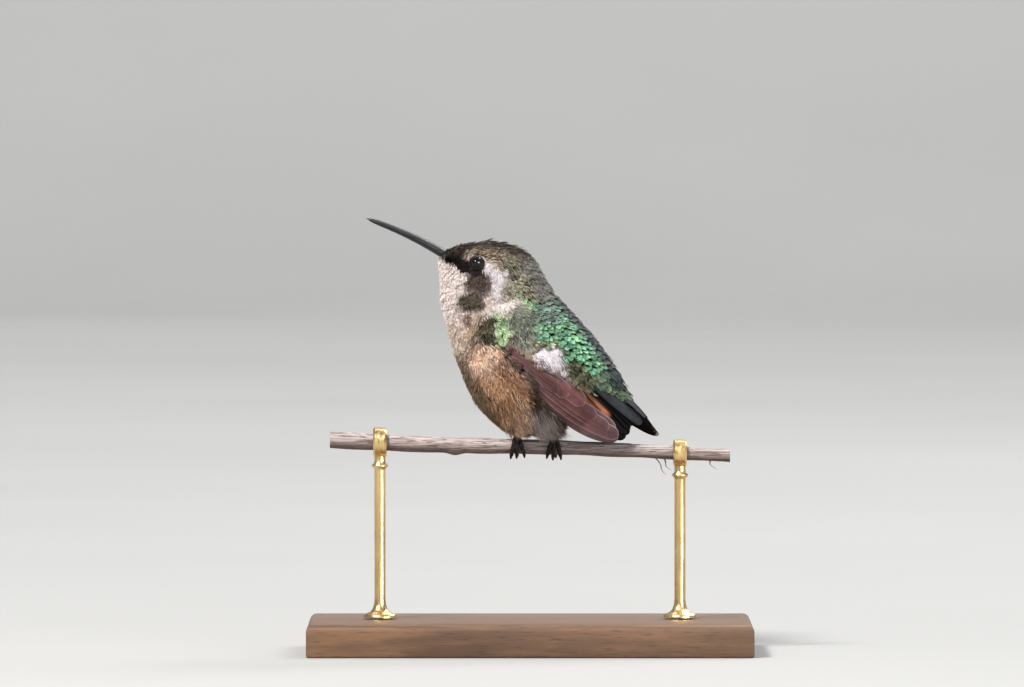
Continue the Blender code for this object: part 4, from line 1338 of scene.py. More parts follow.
def buildWing(side, label):
    secondaries = [wingFeather(side, line, number)
                   for number, line in enumerate(wingForm["secondaries"])]
    *lines, upper, lower = wingForm["primaries"]
    lines.append(upper)
    for number in range(1, wingForm["strips"] + 2):
        share = number / (wingForm["strips"] + 1)
        shaft = [blend(np.array(a), np.array(b), share) for a, b in zip(upper[:3], lower[:3])]
        lines.append((*shaft, lerp(upper[3], lower[3], share)))
    primaries = []
    for number, line in enumerate(lines):
        # darker primaries and rims: partly painted shade beneath the secondaries
        dim = wingForm["dims"][0 if number < 3 else 1]
        primaries.append(wingFeather(side, line, number + wingForm["depths"][0], dim=dim))
    primaries.append(wingFeather(side, wingForm["inner"], wingForm["depths"][1], dim=wingForm["dims"][2]))
    # small coverts in two rows over the roots of the long feathers
    coverts = []
    form = wingForm["coverts"]
    picks = np.random.default_rng(form["seed"])
    for number in range(form["count"]):
        share, row = number / (form["count"] - 1), number % 2
        x = lerp(*form["acrossFrom"], share) + picks.uniform(-0.1, 0.1)
        z = lerp(*form["downFrom"], share) - form["rowGap"] * row + picks.uniform(-0.1, 0.1)
        reach = lerp(*form["long"], share)
        line = ((x, z), (x + reach * 0.5, z - reach * 0.36), (x + reach, z - reach * 0.80),
                lerp(*form["half"], share))
        layer = -1.2 - row * 0.8 - 0.02 * number
        coverts.append(wingFeather(side, line, layer, form["steps"], form["blunt"], form["dim"]))
    long = wingForm["steps"]
    joinStiff(f"wing_{label}_secondaries", secondaries, long, "flight_feathers", (f"wing_{label}",))
    joinStiff(f"wing_{label}_primaries", primaries, long, "flight_feathers")
    joinStiff(f"wing_{label}_coverts", coverts, form["steps"], "flight_feathers")


for label, side in bothSides:
    buildWing(side, label)
print("wings built")

tailForm = {
    # each feather: root, middle and tip of its shaft, half width, turn about the shaft in
    # degrees (90 faces left, -90 right), base and end colours, where they change, tip colour
    "feathers": [
        ((8.0, -6.8, 48.2), (12.8, -5.2, 43.8), (17.2, -3.7, 38.6), 1.5, 80,
         "a7664a", "0a0605", 0.40, None),
        ((8.8, -6.7, 49.0), (13.5, -5.1, 44.7), (18.0, -3.3, 39.5), 1.35, 76,
         "a9684b", "0a0605", 0.50, None),
        ((10.6, -6.4, 47.8), (15.1, -4.7, 44.1), (18.3, -2.9, 40.5), 1.0, 68,
         "120c0b", "0e0a09", 0.3, None),
        ((11.2, -6.3, 48.1), (15.6, -4.5, 44.4), (18.8, -2.6, 41.2), 1.0, 64,
         "120e0c", "100d0e", 0.3, None),
        ((11.6, -6.2, 48.4), (16.0, -4.35, 44.8), (20.3, -1.9, 41.5), 1.35, 62,
         "2c2f31", "313437", 0.3, "3d3029"),
        ((12.0, -2.4, 49.4), (17.2, -1.7, 46.0), (20.9, -0.8, 42.3), 1.4, 24,
         "2b2e30", "303336", 0.3, None),
        ((12.0, 2.4, 49.4), (17.4, 1.7, 46.0), (21.2, 0.8, 42.2), 1.4, -20,
         "2b2e30", "303336", 0.3, None),
        ((11.6, 6.2, 48.4), (16.4, 4.2, 45.4), (21.6, 1.7, 41.6), 1.1, -40,
         "292b2c", "1c1c1e", 0.3, None),
        ((11.2, 6.3, 48.2), (16.4, 4.4, 45.1), (22.1, 2.1, 41.0), 1.1, -42,
         "120e0c", "100d0e", 0.3, None),
        ((10.6, 6.4, 48.0), (16.2, 4.8, 44.8), (22.5, 2.6, 40.5), 1.1, -46,
         "120c0b", "0f0b0b", 0.3, "6b4a3b"),
        ((8.6, 7.0, 48.9), (15.2, 5.4, 44.9), (23.0, 3.1, 39.9), 1.1, -52,
         "b56f45", "110c0b", 0.46, "8a6450"),
        ((7.8, 7.2, 48.3), (14.4, 5.7, 44.4), (23.5, 3.6, 39.3), 1.1, -56,
         "b56f45", "120d0c", 0.48, "e0d0c2")],
    "steps": 30,
    "vane": {"inner": 1.0, "camber": 0.15, "thick": 0.08},
    "outwards": 0.10,    # how much lower each feather lies than the one beside it
}


def buildTail():
    feathers = []
    steps = tailForm["steps"]
    middle = (len(tailForm["feathers"]) - 1) / 2
    t = 1 - (1 - np.linspace(0, 1, steps + 1)) ** 1.5
    for number, look in enumerate(tailForm["feathers"]):
        *shaft, half, turn, base, end, change, tipColour = look
        centre = parabola(shaft, t) * mm
        ahead = unit(np.gradient(centre, axis=0))
        flat = unit(np.cross(ahead, np.array((0.0, 0.0, 1.0))))
        lean = math.radians(turn)
        up = np.cross(flat, ahead) * math.cos(lean) + flat * math.sin(lean)
        across = np.cross(ahead, up)
        centre = centre - up * (abs(number - middle) - 0.5) * tailForm["outwards"] * mm
        halves = half * mm * vaneWidth(t, 0.86, 0.55, 0.06)
        points, gaps, places = stiffFeather(centre, across, up, halves, tailForm["vane"])
        along = places[:, 1][:, None]
        colour = blend(linear(base), linear(end), smoothStep(change - 0.06, change + 0.04, along))
        if tipColour:
            colour = blend(colour, linear(tipColour), smoothStep(0.90, 0.95, along))
        feathers.append((points, gaps, places, colour, colour * 0.5))
    joinStiff("tail_feathers", feathers, steps, "tail_feathers", ("tail",))


buildTail()
print("tail built")

billForm = {
    "base": (-16.1, 71.85), "length": 14.8, "pitch": (31.0, 18.5),
    "upperDepth": (0.92, 0.40), "lowerDepth": (0.62, 0.32), "halfWidth": (0.86, 0.38),
    "point": 0.80, "seam": 0.06, "lowerReach": 0.965, "inside": 1.6,
    "steps": 60, "round": 20, "strides": 40,
}


def billPitch(share):
    return math.radians(lerp(*billForm["pitch"], min(max(share, 0), 1)))


def billMiddle(share):
    # runs from a little inside the face to the tip, bending down slightly
    x, z = billForm["base"]
    count = billForm["strides"]
    for k in range(count):
        pitch = billPitch((k + 0.5) / count * share)
        x -= math.cos(pitch) * billForm["length"] * share / count
        z += math.sin(pitch) * billForm["length"] * share / count
    return np.array((x, 0, z)) * mm


def billTaper(share, end):
    start = billForm["point"] * end
    if share <= start:
        return 1.0
    return max(1 - ((share - start) / (end - start)) ** 2.2, 0.0) ** 0.5


def ringsToPiece(name, rings, closed=True):
    # skins a list of rings; when closed, each end runs to a point
    rings = np.asarray(rings)
    levels, columns = rings.shape[:2]
    faces = ringFaces(levels, columns).tolist()
    points = rings.reshape(-1, 3).tolist()
    if closed:
        points += [rings[0].mean(axis=0), rings[-1].mean(axis=0)]
        start, last = levels * columns, (levels - 1) * columns
        pairs = [(j, (j + 1) % columns) for j in range(columns)]
        faces += [(start, after, j) for j, after in pairs]
        faces += [(start + 1, last + j, last + after) for j, after in pairs]
    mesh = bpy.data.meshes.new(name)
    mesh.from_pydata(points, [], faces)
    mesh.validate()
    piece = addObject(name, mesh)
    faceOutwards(piece)
    bpy.ops.object.shade_smooth_by_angle(angle=math.radians(50))
    return piece


def hornFinish():
    made, tree, shader = newMaterial("billHorn", specular=0.55)
    along = objectPlace(tree, (300, 2400, 2400), turn=(0, math.radians(26), 0))
    fibre = placeMottle(tree, along, 1.0, 0.3, 0.7)
    blotch = placeMottle(tree, objectPlace(tree), 700.0, 0.3, 0.75)
    feed(tree, shader, colour=mixColour(tree, blotch, (0.003, 0.003, 0.004), (0.009, 0.009, 0.011)),
         roughness=between(tree, fibre, 0.30, 0.46))
    addBump(tree, shader, fibre, 0.25, 0.00003)
    return made


def upperOutline(side, rise, share):
    # a ridged roof over flat cutting edges, with a shallow nostril groove: shares of the
    # bill's half width and depth, and how far above the seam in millimetres
    groove = 0.12 * math.exp(-((share - 0.09) / 0.05) ** 2) * math.exp(-((rise - 0.45) / 0.22) ** 2)
    if rise < 0:
        return side * (1 - groove), 0, 0.05 * rise
    return side * (1 - groove), rise * (1 + 0.10 * rise ** 6), 0


def lowerOutline(side, rise):
    if rise > 0:
        return side * 0.92, 0, -0.05 * (1 - rise)
    return side * 0.92, rise, 0


def buildBill():
    form = billForm
    horn = hornFinish()
    for label, upper in (("bill_upper", True), ("bill_lower", False)):
        end = 1.0 if upper else form["lowerReach"]
        depths = form["upperDepth"] if upper else form["lowerDepth"]
        seam = form["seam"] / 2 if upper else -form["seam"] / 2
        rings = []
        for k in range(form["steps"] + 1):
            share = lerp(-form["inside"] / form["length"], end, 1 - (1 - k / form["steps"]) ** 1.4)
            middle, pitch = billMiddle(share), billPitch(share)
            up = np.array((math.sin(pitch), 0, math.cos(pitch)))
            inside = smoothStep(0.0, -0.11, np.array(share))
            size = max(billTaper(share, end), 0.05) * (1 - 0.25 * inside)
            depth = lerp(*depths, max(share, 0)) * size
            width = lerp(*form["halfWidth"], max(share, 0)) * size
            ring = []
            for turn in turns(form["round"]):
                side, rise = math.cos(turn), math.sin(turn)
                s, h, gap = upperOutline(side, rise, share) if upper else lowerOutline(side, rise)
                ring.append(middle + (np.array((0, 1, 0)) * s * width + up * (h * depth + gap + seam)) * mm)
            rings.append(ring)
        finishPiece(ringsToPiece(label + "_horn", rings), horn, (label,))


buildBill()
print("bill built")

eyeForm = {
    "axis": (-0.10, -0.985, 0.06), "open": (1.30, 1.0), "outer": 84.0, "lidWidth": 0.12,
    "bulge": 0.10, "bulgeFrom": 0.80,    # the clear front stands out a little further
    "around": 72, "section": 14,
}


def eyeFinish(side, flip):
    made, tree, shader = newMaterial("eyeGlass_" + side, roughness=0.03, ior=1.5, specular=0.32)
    axis = np.array(eyeForm["axis"]) * flip
    place = node(tree, "ShaderNodeTexCoord").outputs["Object"]
    away = node(tree, "ShaderNodeVectorMath", {1: tuple(eyeCentre * flip)}, operation="SUBTRACT")
    link(tree, place, away.inputs[0])
    toward = node(tree, "ShaderNodeVectorMath", {1: tuple(axis / np.linalg.norm(axis) / eyeRadius)},
                  operation="DOT_PRODUCT")
    link(tree, away.outputs[0], toward.inputs[0])
    share = toward.outputs["Value"]
    iris = mixColour(tree, placeMottle(tree, place, 5200.0), (0.009, 0.005, 0.004), (0.020, 0.011, 0.008))
    colour = mixColour(tree, mapRange(tree, share, 0.70, 0.76), iris, (0.003, 0.003, 0.004))
    colour = mixColour(tree, mapRange(tree, share, 0.36, 0.52), (0.006, 0.005, 0.006), colour)
    feed(tree, shader, colour=colour)
    return made


def lidRings(centre, axis):
    across = Vector((1, 0, 0))
    across = (across - axis * across.dot(axis)).normalized()
    rise = axis.cross(across) * (1 if axis.cross(across).z > 0 else -1)
    broad, tall = (min(v * mm / eyeRadius, 0.97) for v in eyeForm["open"])
    wide = math.radians(eyeForm["outer"])
    rings = []
    for turn in turns(eyeForm["around"]):
        out = across * math.cos(turn) + rise * math.sin(turn)
        narrow = math.asin(broad * tall / math.hypot(tall * math.cos(turn), broad * math.sin(turn)))
        ring = []
        for around in turns(eyeForm["section"]):
            # the rim of the lid and a second soft fold outside it
            reach = (narrow + wide) / 2 + (wide - narrow) / 2 * math.cos(around + math.pi)
            thick = eyeForm["lidWidth"] * (0.8 + 0.35 * math.cos(3 * around))
            high = eyeRadius + (0.02 + thick * 0.6 * math.sin(around)) * mm
            crease = 1 + 0.015 * math.sin(turn * 26 + around * 2)
            spot = axis * math.cos(reach) + out * math.sin(reach) * crease
            ring.append(np.array(centre + spot * high))
        rings.append(ring)
    return rings + rings[:1]


def buildEyes():
    lid = speckledFinish("lidSkin", 4000.0, ((0.010, 0.007, 0.007), (0.030, 0.023, 0.023)),
                         (0.6, 0.00006), roughness=0.6, specular=0.3)
    for side, sign in bothSides:
        flip = (1, -sign, 1)
        centre = Vector(eyeCentre * flip)
        bpy.ops.mesh.primitive_uv_sphere_add(segments=64, ring_count=40, radius=eyeRadius,
                                             location=centre)
        ball = bpy.context.object
        ball.name = "eyeball_" + side
        bpy.ops.object.transform_apply(location=True, rotation=True, scale=True)
        axis = Vector(np.array(eyeForm["axis"]) * flip).normalized()
        start = eyeForm["bulgeFrom"]
        for vertex in ball.data.vertices:
            toward = (vertex.co - centre).normalized().dot(axis)
            bulge = max(toward - start, 0) / (1 - start)
            vertex.co += axis * (eyeForm["bulge"] * mm * bulge * bulge)
        bpy.ops.object.shade_smooth()
        finishPiece(ball, eyeFinish(side, flip), ("eye_" + side,))
        piece = ringsToPiece("eyelid_" + side, lidRings(centre, axis), closed=False)
        faceOutwards(piece, merge=True)
        finishPiece(piece, lid)


buildEyes()
print("eyes built")

twigForm = {
    "low": -36.0, "high": 36.0, "middle": 37.0, "slope": -2.1, "thick": (1.5, 1.12),
    "steps": 520, "round": 72, "knob": -13.5, "knobSize": 0.45,
    "scars": ((-29.0, 0.5, -0.10), (17.5, 0.8, 0.08)),     # place, reach and height
    "flakes": [(22.6, 3.5, -0.4), (23.9, 2.6, 0.3), (32.2, 1.9, -0.2)],
    "flakeSteps": 15, "flakeRound": 8,
}


def twigMiddle(x):
    sway = 0.15 * math.sin(x * 0.11 + 0.6) - 0.15 * math.sin(0.6)
    side = 0.3 * math.sin(x * 0.07 + 1.0) - 0.3 * math.sin(1.0)
    return x, side, twigForm["middle"] + math.tan(math.radians(twigForm["slope"])) * x + sway


def twigRadius(x):
    share = (x - twigForm["low"]) / (twigForm["high"] - twigForm["low"])
    return lerp(*twigForm["thick"], share) + 0.05 * math.sin(0.55 * x)


def barkFinish():
    made, tree, shader = newMaterial("twigBark", roughness=0.85, specular=0.2)
    place = objectPlace(tree)
    grain = placeMottle(tree, objectPlace(tree, (110, 3300, 3300)), 1.0, 0.36, 0.62)
    fine = placeMottle(tree, objectPlace(tree, (260, 8000, 8000)), 1.0, 0.3, 0.7)
    cracks = node(tree, "ShaderNodeTexNoise", {"Scale": 1.0, "Detail": 3.0, "Roughness": 0.6,
                                               "Distortion": 0.3})
    link(tree, objectPlace(tree, (75, 2300, 2300), (3, 1, 2)), cracks.inputs["Vector"])
    ridge = calc(tree, "ABSOLUTE", calc(tree, "SUBTRACT", cracks.outputs["Fac"], 0.5))
    crack = mapRange(tree, ridge, 0.0, 0.035, 1.0, 0.0)
    # painted shade: the twig's underside is painted darker than its top, where the light from above falls
    # less
    split = node(tree, "ShaderNodeSeparateXYZ")
    link(tree, place, split.inputs[0])
    middle = calc(tree, "MULTIPLY_ADD", split.outputs["X"], math.tan(math.radians(twigForm["slope"])),
                  twigForm["middle"] * mm)
    paintedUndersideShade = mapRange(tree, calc(tree, "SUBTRACT", split.outputs["Z"], middle), -0.0012, 0.0009, 1.0, 0.0)
    colour = mixColour(tree, grain, (0.22, 0.155, 0.15), (0.50, 0.425, 0.41))
    feed(tree, shader, colour=overlay(
        tree, colour, (placeMottle(tree, place, 260.0), 0.45, (0.56, 0.46, 0.40)),
        (fine, 0.3, (0.66, 0.60, 0.60)), (paintedUndersideShade, 0.85, (0.13, 0.092, 0.078)),
        (crack, 0.8, (0.085, 0.055, 0.045))))
    height = calc(tree, "SUBTRACT", calc(tree, "ADD", grain, calc(tree, "MULTIPLY", fine, 0.4)),
                  calc(tree, "MULTIPLY", crack, 1.6))
    addBump(tree, shader, height, 0.7, 0.00014)
    return made


def cutWoodFinish():
    made, tree, shader = newMaterial("cutWood", roughness=0.75)
    rings = node(tree, "ShaderNodeTexWave", {"Scale": 900.0, "Distortion": 2.0, "Detail": 2.0},
                 wave_type="RINGS", rings_direction="X")
    link(tree, objectPlace(tree, shift=(0, 0, -0.037)), rings.inputs["Vector"])
    grain = rings.outputs["Fac"]
    feed(tree, shader, colour=mixColour(tree, grain, (0.52, 0.38, 0.24), (0.70, 0.56, 0.40)))
    addBump(tree, shader, grain, 0.3, 0.00005)
    return made


def barkHeight(x, cy, cz):
    # how far the bark stands out, from its place along the twig and round it
    broad = noise.noise(Vector((x * 0.16, cy * 1.6, cz * 1.6))) * 0.055
    sharp = -abs(noise.noise(Vector((x * 0.22 + 9, cy * 3.1, cz * 3.1)))) ** 0.7 * 0.075
    fine = noise.noise(Vector((x * 1.3, cy * 7, cz * 7))) * 0.014
    knob = twigForm["knobSize"] * math.exp(-((x - twigForm["knob"]) / 1.3) ** 2) * max(-cz, 0) ** 2
    scar = sum(high * math.exp(-((x - place) / reach) ** 2) for place, reach, high in twigForm["scars"])
    return broad + sharp + 0.035 + fine + knob + scar * (0.5 + 0.5 * cz)


def buildTwig():
    form = twigForm
    bark = barkFinish()
    rings = []
    for k in range(form["steps"] + 1):
        x = lerp(form["low"], form["high"], k / form["steps"])
        mx, my, mz = twigMiddle(x)
        radius = twigRadius(x)
        ring = []
        for cy, cz in [(math.cos(turn), math.sin(turn)) for turn in turns(form["round"])]:
            r = radius + barkHeight(x, cy, cz)
            ring.append(np.array((mx, my + cy * r, mz + cz * r)) * mm)
        rings.append(ring)
    piece = finishPiece(ringsToPiece("twig_bark", rings), bark, ("perch_twig",))
    piece.data.materials.append(cutWoodFinish())
    for face in piece.data.polygons:
        if abs(face.normal.x) > 0.9 and abs(face.center.x) > (form["high"] - 0.2) * mm:
            face.material_index = 1
    # thin strips of bark that have come loose and hang down
    for number, (x, length, drift) in enumerate(form["flakes"]):
        mx, my, mz = twigMiddle(x)
        radius = twigRadius(x)
        start = Vector((x, my - radius * 0.35, mz - radius * 0.90))
        rings = []
        for share in [k / (form["flakeSteps"] - 1) for k in range(form["flakeSteps"])]:
            spot = start + Vector((length * 0.55 * share + 0.25 * math.sin(share * 6 + number),
                                   drift * share - 0.2 * share, -length * share ** 0.85 * 0.85))
            wide = 0.13 * (1 - share) + 0.035
            ring = []
            for turn in [turn + share * 1.5 for turn in turns(form["flakeRound"])]:
                out = Vector((math.cos(turn) * wide, math.sin(turn) * 0.06, math.sin(turn) * 0.03))
                ring.append(np.array(spot + out) * mm)
            rings.append(ring)
        finishPiece(ringsToPiece(f"bark_flake_{number + 1}", rings), bark)


buildTwig()
print("twig built")

legForm = {
    # ankle, the foot's place along the twig, and each front toe's spread and wrap in degrees
    "left": {"ankle": (5.4, -1.9, 43.0), "foot": 4.5,
             "toes": ((-1.3, 128.0), (-0.35, 146.0), (0.95, 138.0))},
    "right": {"ankle": (-1.7, 1.9, 43.2), "foot": -2.4,
              "toes": ((-0.95, 144.0), (0.0, 136.0), (1.25, 126.0))},
    "hindToe": (0.15, 124.0), "toeStart": 8.0, "gap": 0.15,
    "shank": 0.40, "toe": 0.40, "claw": 0.33, "clawDrop": 0.35,
    "shankSteps": 40, "toeSteps": 25, "clawSteps": 16,
}


def scaleFinish():
    made, tree, shader = newMaterial("footScales", roughness=0.6, specular=0.12)
    place = objectPlace(tree)
    scales = node(tree, "ShaderNodeTexVoronoi", {"Scale": 4200.0, "Randomness": 0.6},
                  feature="DISTANCE_TO_EDGE")
    link(tree, place, scales.inputs["Vector"])
    seam = mapRange(tree, scales.outputs["Distance"], 0.0, 0.12, 1.0, 0.0)
    tone = placeMottle(tree, place, 1500.0)
    colour = mixColour(tree, tone, (0.006, 0.004, 0.004), (0.022, 0.015, 0.013))
    feed(tree, shader, colour=overlay(tree, colour, (seam, 0.6, (0.006, 0.004, 0.004))))
    addBump(tree, shader, calc(tree, "SUBTRACT", 1.0, seam), 0.5, 0.00005)
    return made


def tube(name, path, radii, sides, scutes=0, scuteSize=0.0):
    # a tapered tube along points, with raised bands across it like a bird's leg scales
    path = [Vector(p) for p in path]
    rings = []
    normal = (path[1] - path[0]).normalized().orthogonal().normalized()
    for k, spot in enumerate(path):
        ahead = (path[min(k + 1, len(path) - 1)] - path[max(k - 1, 0)]).normalized()
        normal = (normal - ahead * normal.dot(ahead)).normalized()
        beside = ahead.cross(normal)
        band = 1 + scuteSize * abs(math.sin(k / (len(path) - 1) * scutes * math.pi))
        r = radii[k] * band
        rings.append([np.array(spot + normal * math.cos(turn) * r + beside * math.sin(turn) * r) * mm
                      for turn in turns(sides)])
    return ringsToPiece(name, rings)


def smoothPath(points, count):
    return [Vector(catmull(points, share * (len(points) - 1)))
            for share in np.linspace(0, 0.99999, count)]


def footHeight(x):
    # from the twig's middle to the underside of a foot on it
    return twigRadius(x) * 1.03 + legForm["gap"]


def toePath(x, spread, wrap, side):
    # winds round the twig from its top, over the near side for -1 or the far side for 1
    path = []
    for share in [k / (legForm["toeSteps"] - 1) for k in range(legForm["toeSteps"])]:
        turn = math.radians(lerp(legForm["toeStart"], wrap, share))
        here = x + spread * share ** 0.8
        mx, my, mz = twigMiddle(here)
        r = footHeight(here) + legForm["toe"] * lerp(1.0, 0.9, share)
        path.append(Vector((mx, my + side * math.sin(turn) * r, mz + math.cos(turn) * r)))
    return path


def joinPieces(name, pieces):
    deselectAll()
    for piece in pieces:
        piece.select_set(True)
    bpy.context.view_layer.objects.active = pieces[0]
    bpy.ops.object.join()
    pieces[0].name = name
    return pieces[0]


def shankTube(side):
    form, count = legForm[side], legForm["shankSteps"]
    foot, ankle = form["foot"], Vector(form["ankle"])
    _, my, mz = twigMiddle(foot)
    heel = Vector((foot, my, mz + footHeight(foot) + legForm["toe"] + 0.15))
    knots = [ankle + Vector((0, 0, 1.2)), ankle, (ankle + heel) / 2 + Vector((0.15, 0, 0)),
             heel, heel + Vector((0, 0, -0.35))]
    radii = [legForm["shank"] * lerp(1.15, 0.92, k / (count - 1)) for k in range(count)]
    return tube("shank_" + side, smoothPath(knots, count), radii, 20, 11, 0.10)


def clawTube(name, toe):
    last, count = toe[-1], legForm["clawSteps"]
    ahead = (last - toe[-3]).normalized()
    down = Vector((0, 0, -1))
    knots = [last - ahead * 0.2, last + ahead * 0.35, last + ahead * 0.66 + down * 0.22,
             last + ahead * 0.75 + down * legForm["clawDrop"]]
    radii = [legForm["claw"] * (1 - (k / (count - 1)) ** 1.6) + 0.015 for k in range(count)]
    return tube(name, smoothPath(knots, count), radii, 14)


def buildLegs():
    scales = scaleFinish()
    clawHorn = speckledFinish("clawHorn", 3.0, ((0.005, 0.004, 0.004), (0.018, 0.014, 0.013)),
                              (0.2, 0.00003), (900, 900, 300), roughness=0.42, specular=0.2)
    for side, _ in bothSides:
        parts, claws = [shankTube(side)], []
        toes = [(*toe, -1) for toe in legForm[side]["toes"]] + [(*legForm["hindToe"], 1)]
        for number, toe in enumerate(toes):
            path = toePath(legForm[side]["foot"], *toe)
            radii = []
            for share in [k / (len(path) - 1) for k in range(len(path))]:
                pads = 1 + 0.10 * math.cos(share * 3 * 2 * math.pi)
                radii.append(legForm["toe"] * lerp(1.0, 0.82, share) * pads)
            parts.append(tube(f"toe_{side}_{number}", path, radii, 16, 14, 0.07))
            claws.append(clawTube(f"claw_{side}_{number}", path))
        finishPiece(joinPieces("foot_" + side, parts), scales, ("leg_" + side,))
        finishPiece(joinPieces("claws_" + side, claws), clawHorn)


buildLegs()
print("legs built")

standForm = {
    "size": (80.0, 42.0, 6.0), "corner": 9.0, "bevel": 1.4, "underBevel": 0.4,
    "rod": 1.0, "rodAt": (-27.0, 27.0), "foot": 3.0,
    "collarWall": 0.9, "collarWidth": 2.4,
    # turned profile, bottom to top: the first rows give shares of the foot's radius and heights
    # over the base, the next shares of the rod's radius, and the last ones depths below the collar
    "footRows": ((1, 0), (1, 0.35), (0.9, 0.62), (0.62, 0.95)),
    "rodRows": ((1.35, 1.5), (1.06, 2.4), (1, 3.4)),
    "beadRows": ((1, 3.2), (1.05, 2.9), (1.45, 2.55), (1.45, 2.25), (1.05, 1.9), (1, 1.6), (1, 0.25)),
}


def woodFinish():
    made, tree, shader = newMaterial("standWood", specular=0.35, coat=0.1, coatRoughness=0.3)
    place = objectPlace(tree, (22, 170, 170), (0.0, 0.004, 0.02), (0, 0, math.radians(2)))
    wave = node(tree, "ShaderNodeTexWave", {"Scale": 1.6, "Distortion": 5.0, "Detail": 3.0,
                                            "Detail Scale": 1.2, "Detail Roughness": 0.6},
                bands_direction="Y")
    link(tree, place, wave.inputs["Vector"])
    grain = wave.outputs["Fac"]
    pores = placeMottle(tree, objectPlace(tree, (300, 4200, 4200)), 1.0, 0.55, 0.7)
    cloud = placeMottle(tree, objectPlace(tree, (20, 60, 60)), 1.0)
    colour = mixColour(tree, grain, (0.085, 0.042, 0.022), (0.175, 0.092, 0.048))
    colour = overlay(tree, colour, (cloud, 0.4, (0.22, 0.12, 0.065)), (pores, 0.7, (0.035, 0.018, 0.010)))
    feed(tree, shader, colour=colour, roughness=between(tree, grain, 0.5, 0.36))
    addBump(tree, shader, calc(tree, "SUBTRACT", 1.0, pores), 0.25, 0.00008)
    return made


def brassFinish():
    made, tree, shader = newMaterial("standBrass", metallic=1.0)
    brushed = placeMottle(tree, objectPlace(tree, (2500, 2500, 90)), 1.0)
    stain = placeMottle(tree, objectPlace(tree), 180.0)
    feed(tree, shader, colour=mixColour(tree, stain, (0.72, 0.52, 0.24), (0.56, 0.38, 0.17)),
         roughness=between(tree, brushed, 0.24, 0.42))
    addBump(tree, shader, brushed, 0.15, 0.00003)
    return made


def bevelFace(mesh, facing, offset, segments):
    # rounds the border of the side that faces up for 1 or down for -1
    bpy.ops.mesh.select_all(action="DESELECT")
    for face in bmesh.from_edit_mesh(mesh).faces:
        if face.normal.z * facing > 0.9:
            face.select_set(True)
    bmesh.update_edit_mesh(mesh)
    bpy.ops.mesh.region_to_loop()
    bpy.ops.mesh.bevel(offset=offset * mm, segments=segments, affect="EDGES")


def buildBase():
    wide, paintedUnderShade, high = (value * mm for value in standForm["size"])
    bpy.ops.mesh.primitive_cube_add(size=1, location=(0, 0, high / 2))
    base = bpy.context.object
    base.name = "plinth"
    base.scale = (wide, paintedUnderShade, high)
    bpy.ops.object.transform_apply(location=True, rotation=True, scale=True)
    bpy.ops.object.mode_set(mode="EDIT")
    bpy.ops.mesh.select_all(action="DESELECT")
    for edge in bmesh.from_edit_mesh(base.data).edges:
        edge.select_set(abs(edge.verts[0].co.z - edge.verts[1].co.z) > high / 2)
    bmesh.update_edit_mesh(base.data)
    bpy.ops.mesh.bevel(offset=standForm["corner"] * mm, segments=16, affect="EDGES")
    bevelFace(base.data, 1, standForm["bevel"], 6)
    bevelFace(base.data, -1, standForm["underBevel"], 3)
    bpy.ops.object.mode_set(mode="OBJECT")
    bpy.ops.object.shade_smooth_by_angle(angle=math.radians(35))
    finishPiece(base, woodFinish(), ("stand_base",))


def buildRod(label, x, brass):
    # a turned foot, then the slim rod, with a small bead under the collar round the twig
    form = standForm
    _, my, mz = twigMiddle(x)
    inside = twigRadius(x) * 1.05 + 0.30
    outside = inside + form["collarWall"]
    low, high = form["size"][2] + 0.3, mz - inside
    profile = [(form["foot"] * wide, low + up) for wide, up in form["footRows"]]
    profile += [(form["rod"] * wide, low + up) for wide, up in form["rodRows"]]
    profile += [(form["rod"] * wide, high - down) for wide, down in form["beadRows"]]
    rings = [[np.array((x + math.cos(t) * radius, my + math.sin(t) * radius, height)) * mm
              for t in turns(48)] for radius, height in profile]
    rod = ringsToPiece("rod_" + label, rings)
    finishPiece(rod, brass, ("stand_rod_" + label,))
    section = [(inside, -0.5), (inside, 0.5), (inside + 0.12, 0.5), (outside - 0.25, 0.5),
               (outside, 0.38), (outside, -0.38), (outside - 0.25, -0.5), (inside + 0.12, -0.5)]
    slope = math.radians(twigForm["slope"])
    rings = []
    for t in np.linspace(0, 2 * math.pi, 65):
        ring = []
        for radius, shift in [(radius, share * form["collarWidth"]) for radius, share in section]:
            ring.append(np.array((x + shift * math.cos(slope), my + math.cos(t) * radius,
                                  mz + shift * math.sin(slope) + math.sin(t) * radius)) * mm)
        rings.append(ring)
    collar = ringsToPiece("collar_" + label, rings, closed=False)
    faceOutwards(collar, merge=True)
    bpy.ops.object.shade_smooth_by_angle(angle=math.radians(35))
    finishPiece(collar, brass)


buildBase()
brass = brassFinish()
for label, x in zip(("front", "back"), standForm["rodAt"]):
    buildRod(label, x, brass)
print("stand built")

floorForm = {"half": 3.5, "front": -3.2, "bend": 2.6, "radius": 0.8, "height": 3.4, "steps": 16}


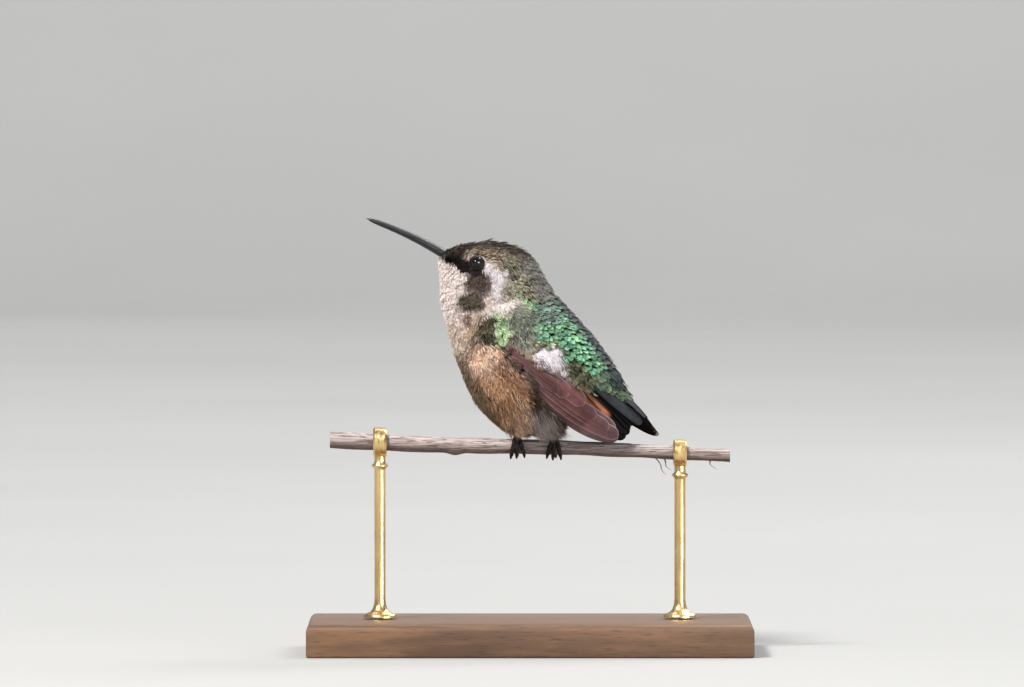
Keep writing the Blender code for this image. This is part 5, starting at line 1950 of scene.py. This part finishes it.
def buildFloor():
    # a pale sheet that lies flat under the model and curves up behind it, in metres
    form = floorForm
    points, faces = [], []
    profile = [(form["front"], 0.0), (form["bend"], 0.0)]
    for k in range(1, form["steps"] + 1):
        turn = math.pi / 2 * k / form["steps"]
        profile.append((form["bend"] + form["radius"] * math.sin(turn),
                        form["radius"] - form["radius"] * math.cos(turn)))
    profile.append((form["bend"] + form["radius"], form["height"]))
    for k, (y, z) in enumerate(profile):
        points += [(-form["half"], y, z), (form["half"], y, z)]
        if k:
            faces.append((2 * k - 2, 2 * k - 1, 2 * k + 1, 2 * k))
    mesh = bpy.data.meshes.new("studioSheet")
    mesh.from_pydata(points, [], faces)
    mesh.shade_smooth()
    mesh.materials.append(speckledFinish("studioFloor", 3.0, ((0.37, 0.368, 0.360), (0.39, 0.388, 0.380)),
                                         roughness=0.85))
    addObject("studioSheet", mesh)


def addLamp(name, spot, aim, size, power, colour=(1, 1, 1), glossOnly=False):
    lamp = bpy.data.lights.new(name, "AREA")
    lamp.energy = power
    lamp.size = size
    lamp.color = colour
    made = addObject(name, lamp)
    made.location = spot
    made.rotation_euler = (Vector(aim) - Vector(spot)).to_track_quat("-Z", "Y").to_euler()
    made.visible_diffuse = not glossOnly


studio = {"cameraDistance": 2.048, "elevation": 1.5, "aim": (-0.00324, 0.0, 0.0556), "lens": 400,
          "worldColour": (0.93, 0.95, 1.0, 1), "worldStrength": 0.40}


def buildStudio():
    buildFloor()
    target = Vector(studio["aim"])
    addLamp("keySoftbox", (-0.75, -1.05, 1.30), target, 0.36, 54, (1.0, 0.985, 0.96))
    addLamp("fillSoftbox", (1.1, -1.2, 0.7), target, 0.9, 7, (0.96, 0.98, 1.0))
    addLamp("rimSoftbox", (0.7, 0.75, 0.9), target, 0.5, 8)
    addLamp("sparkLamp", (0.75, -0.80, 0.10), target, 0.42, 18, (0.98, 0.99, 1.0), glossOnly=True)
    addLamp("ridgeLamp", (0.62, 0.20, 1.18), target, 0.35, 10, glossOnly=True)
    addLamp("backdropLamp", (0, 1.5, 2.4), (0, 3.2, 0.7), 1.6, 66)
    world = bpy.data.worlds.new("softRoom")
    world.use_nodes = True
    background = world.node_tree.nodes["Background"]
    background.inputs["Color"].default_value = studio["worldColour"]
    background.inputs["Strength"].default_value = studio["worldStrength"]
    bpy.context.scene.world = world
    lens = bpy.data.cameras.new("mainCamera")
    lens.lens = studio["lens"]
    lens.sensor_width = 36
    lens.clip_start = 0.01
    lens.clip_end = 50
    camera = addObject("mainCamera", lens)
    raised = math.radians(studio["elevation"])
    back = Vector((0, -math.cos(raised), math.sin(raised))) * studio["cameraDistance"]
    camera.location = target + back
    camera.rotation_euler = (target - camera.location).to_track_quat("-Z", "Y").to_euler()
    bpy.context.scene.camera = camera
    bpy.context.scene.view_settings.view_transform = "Standard"


buildStudio()
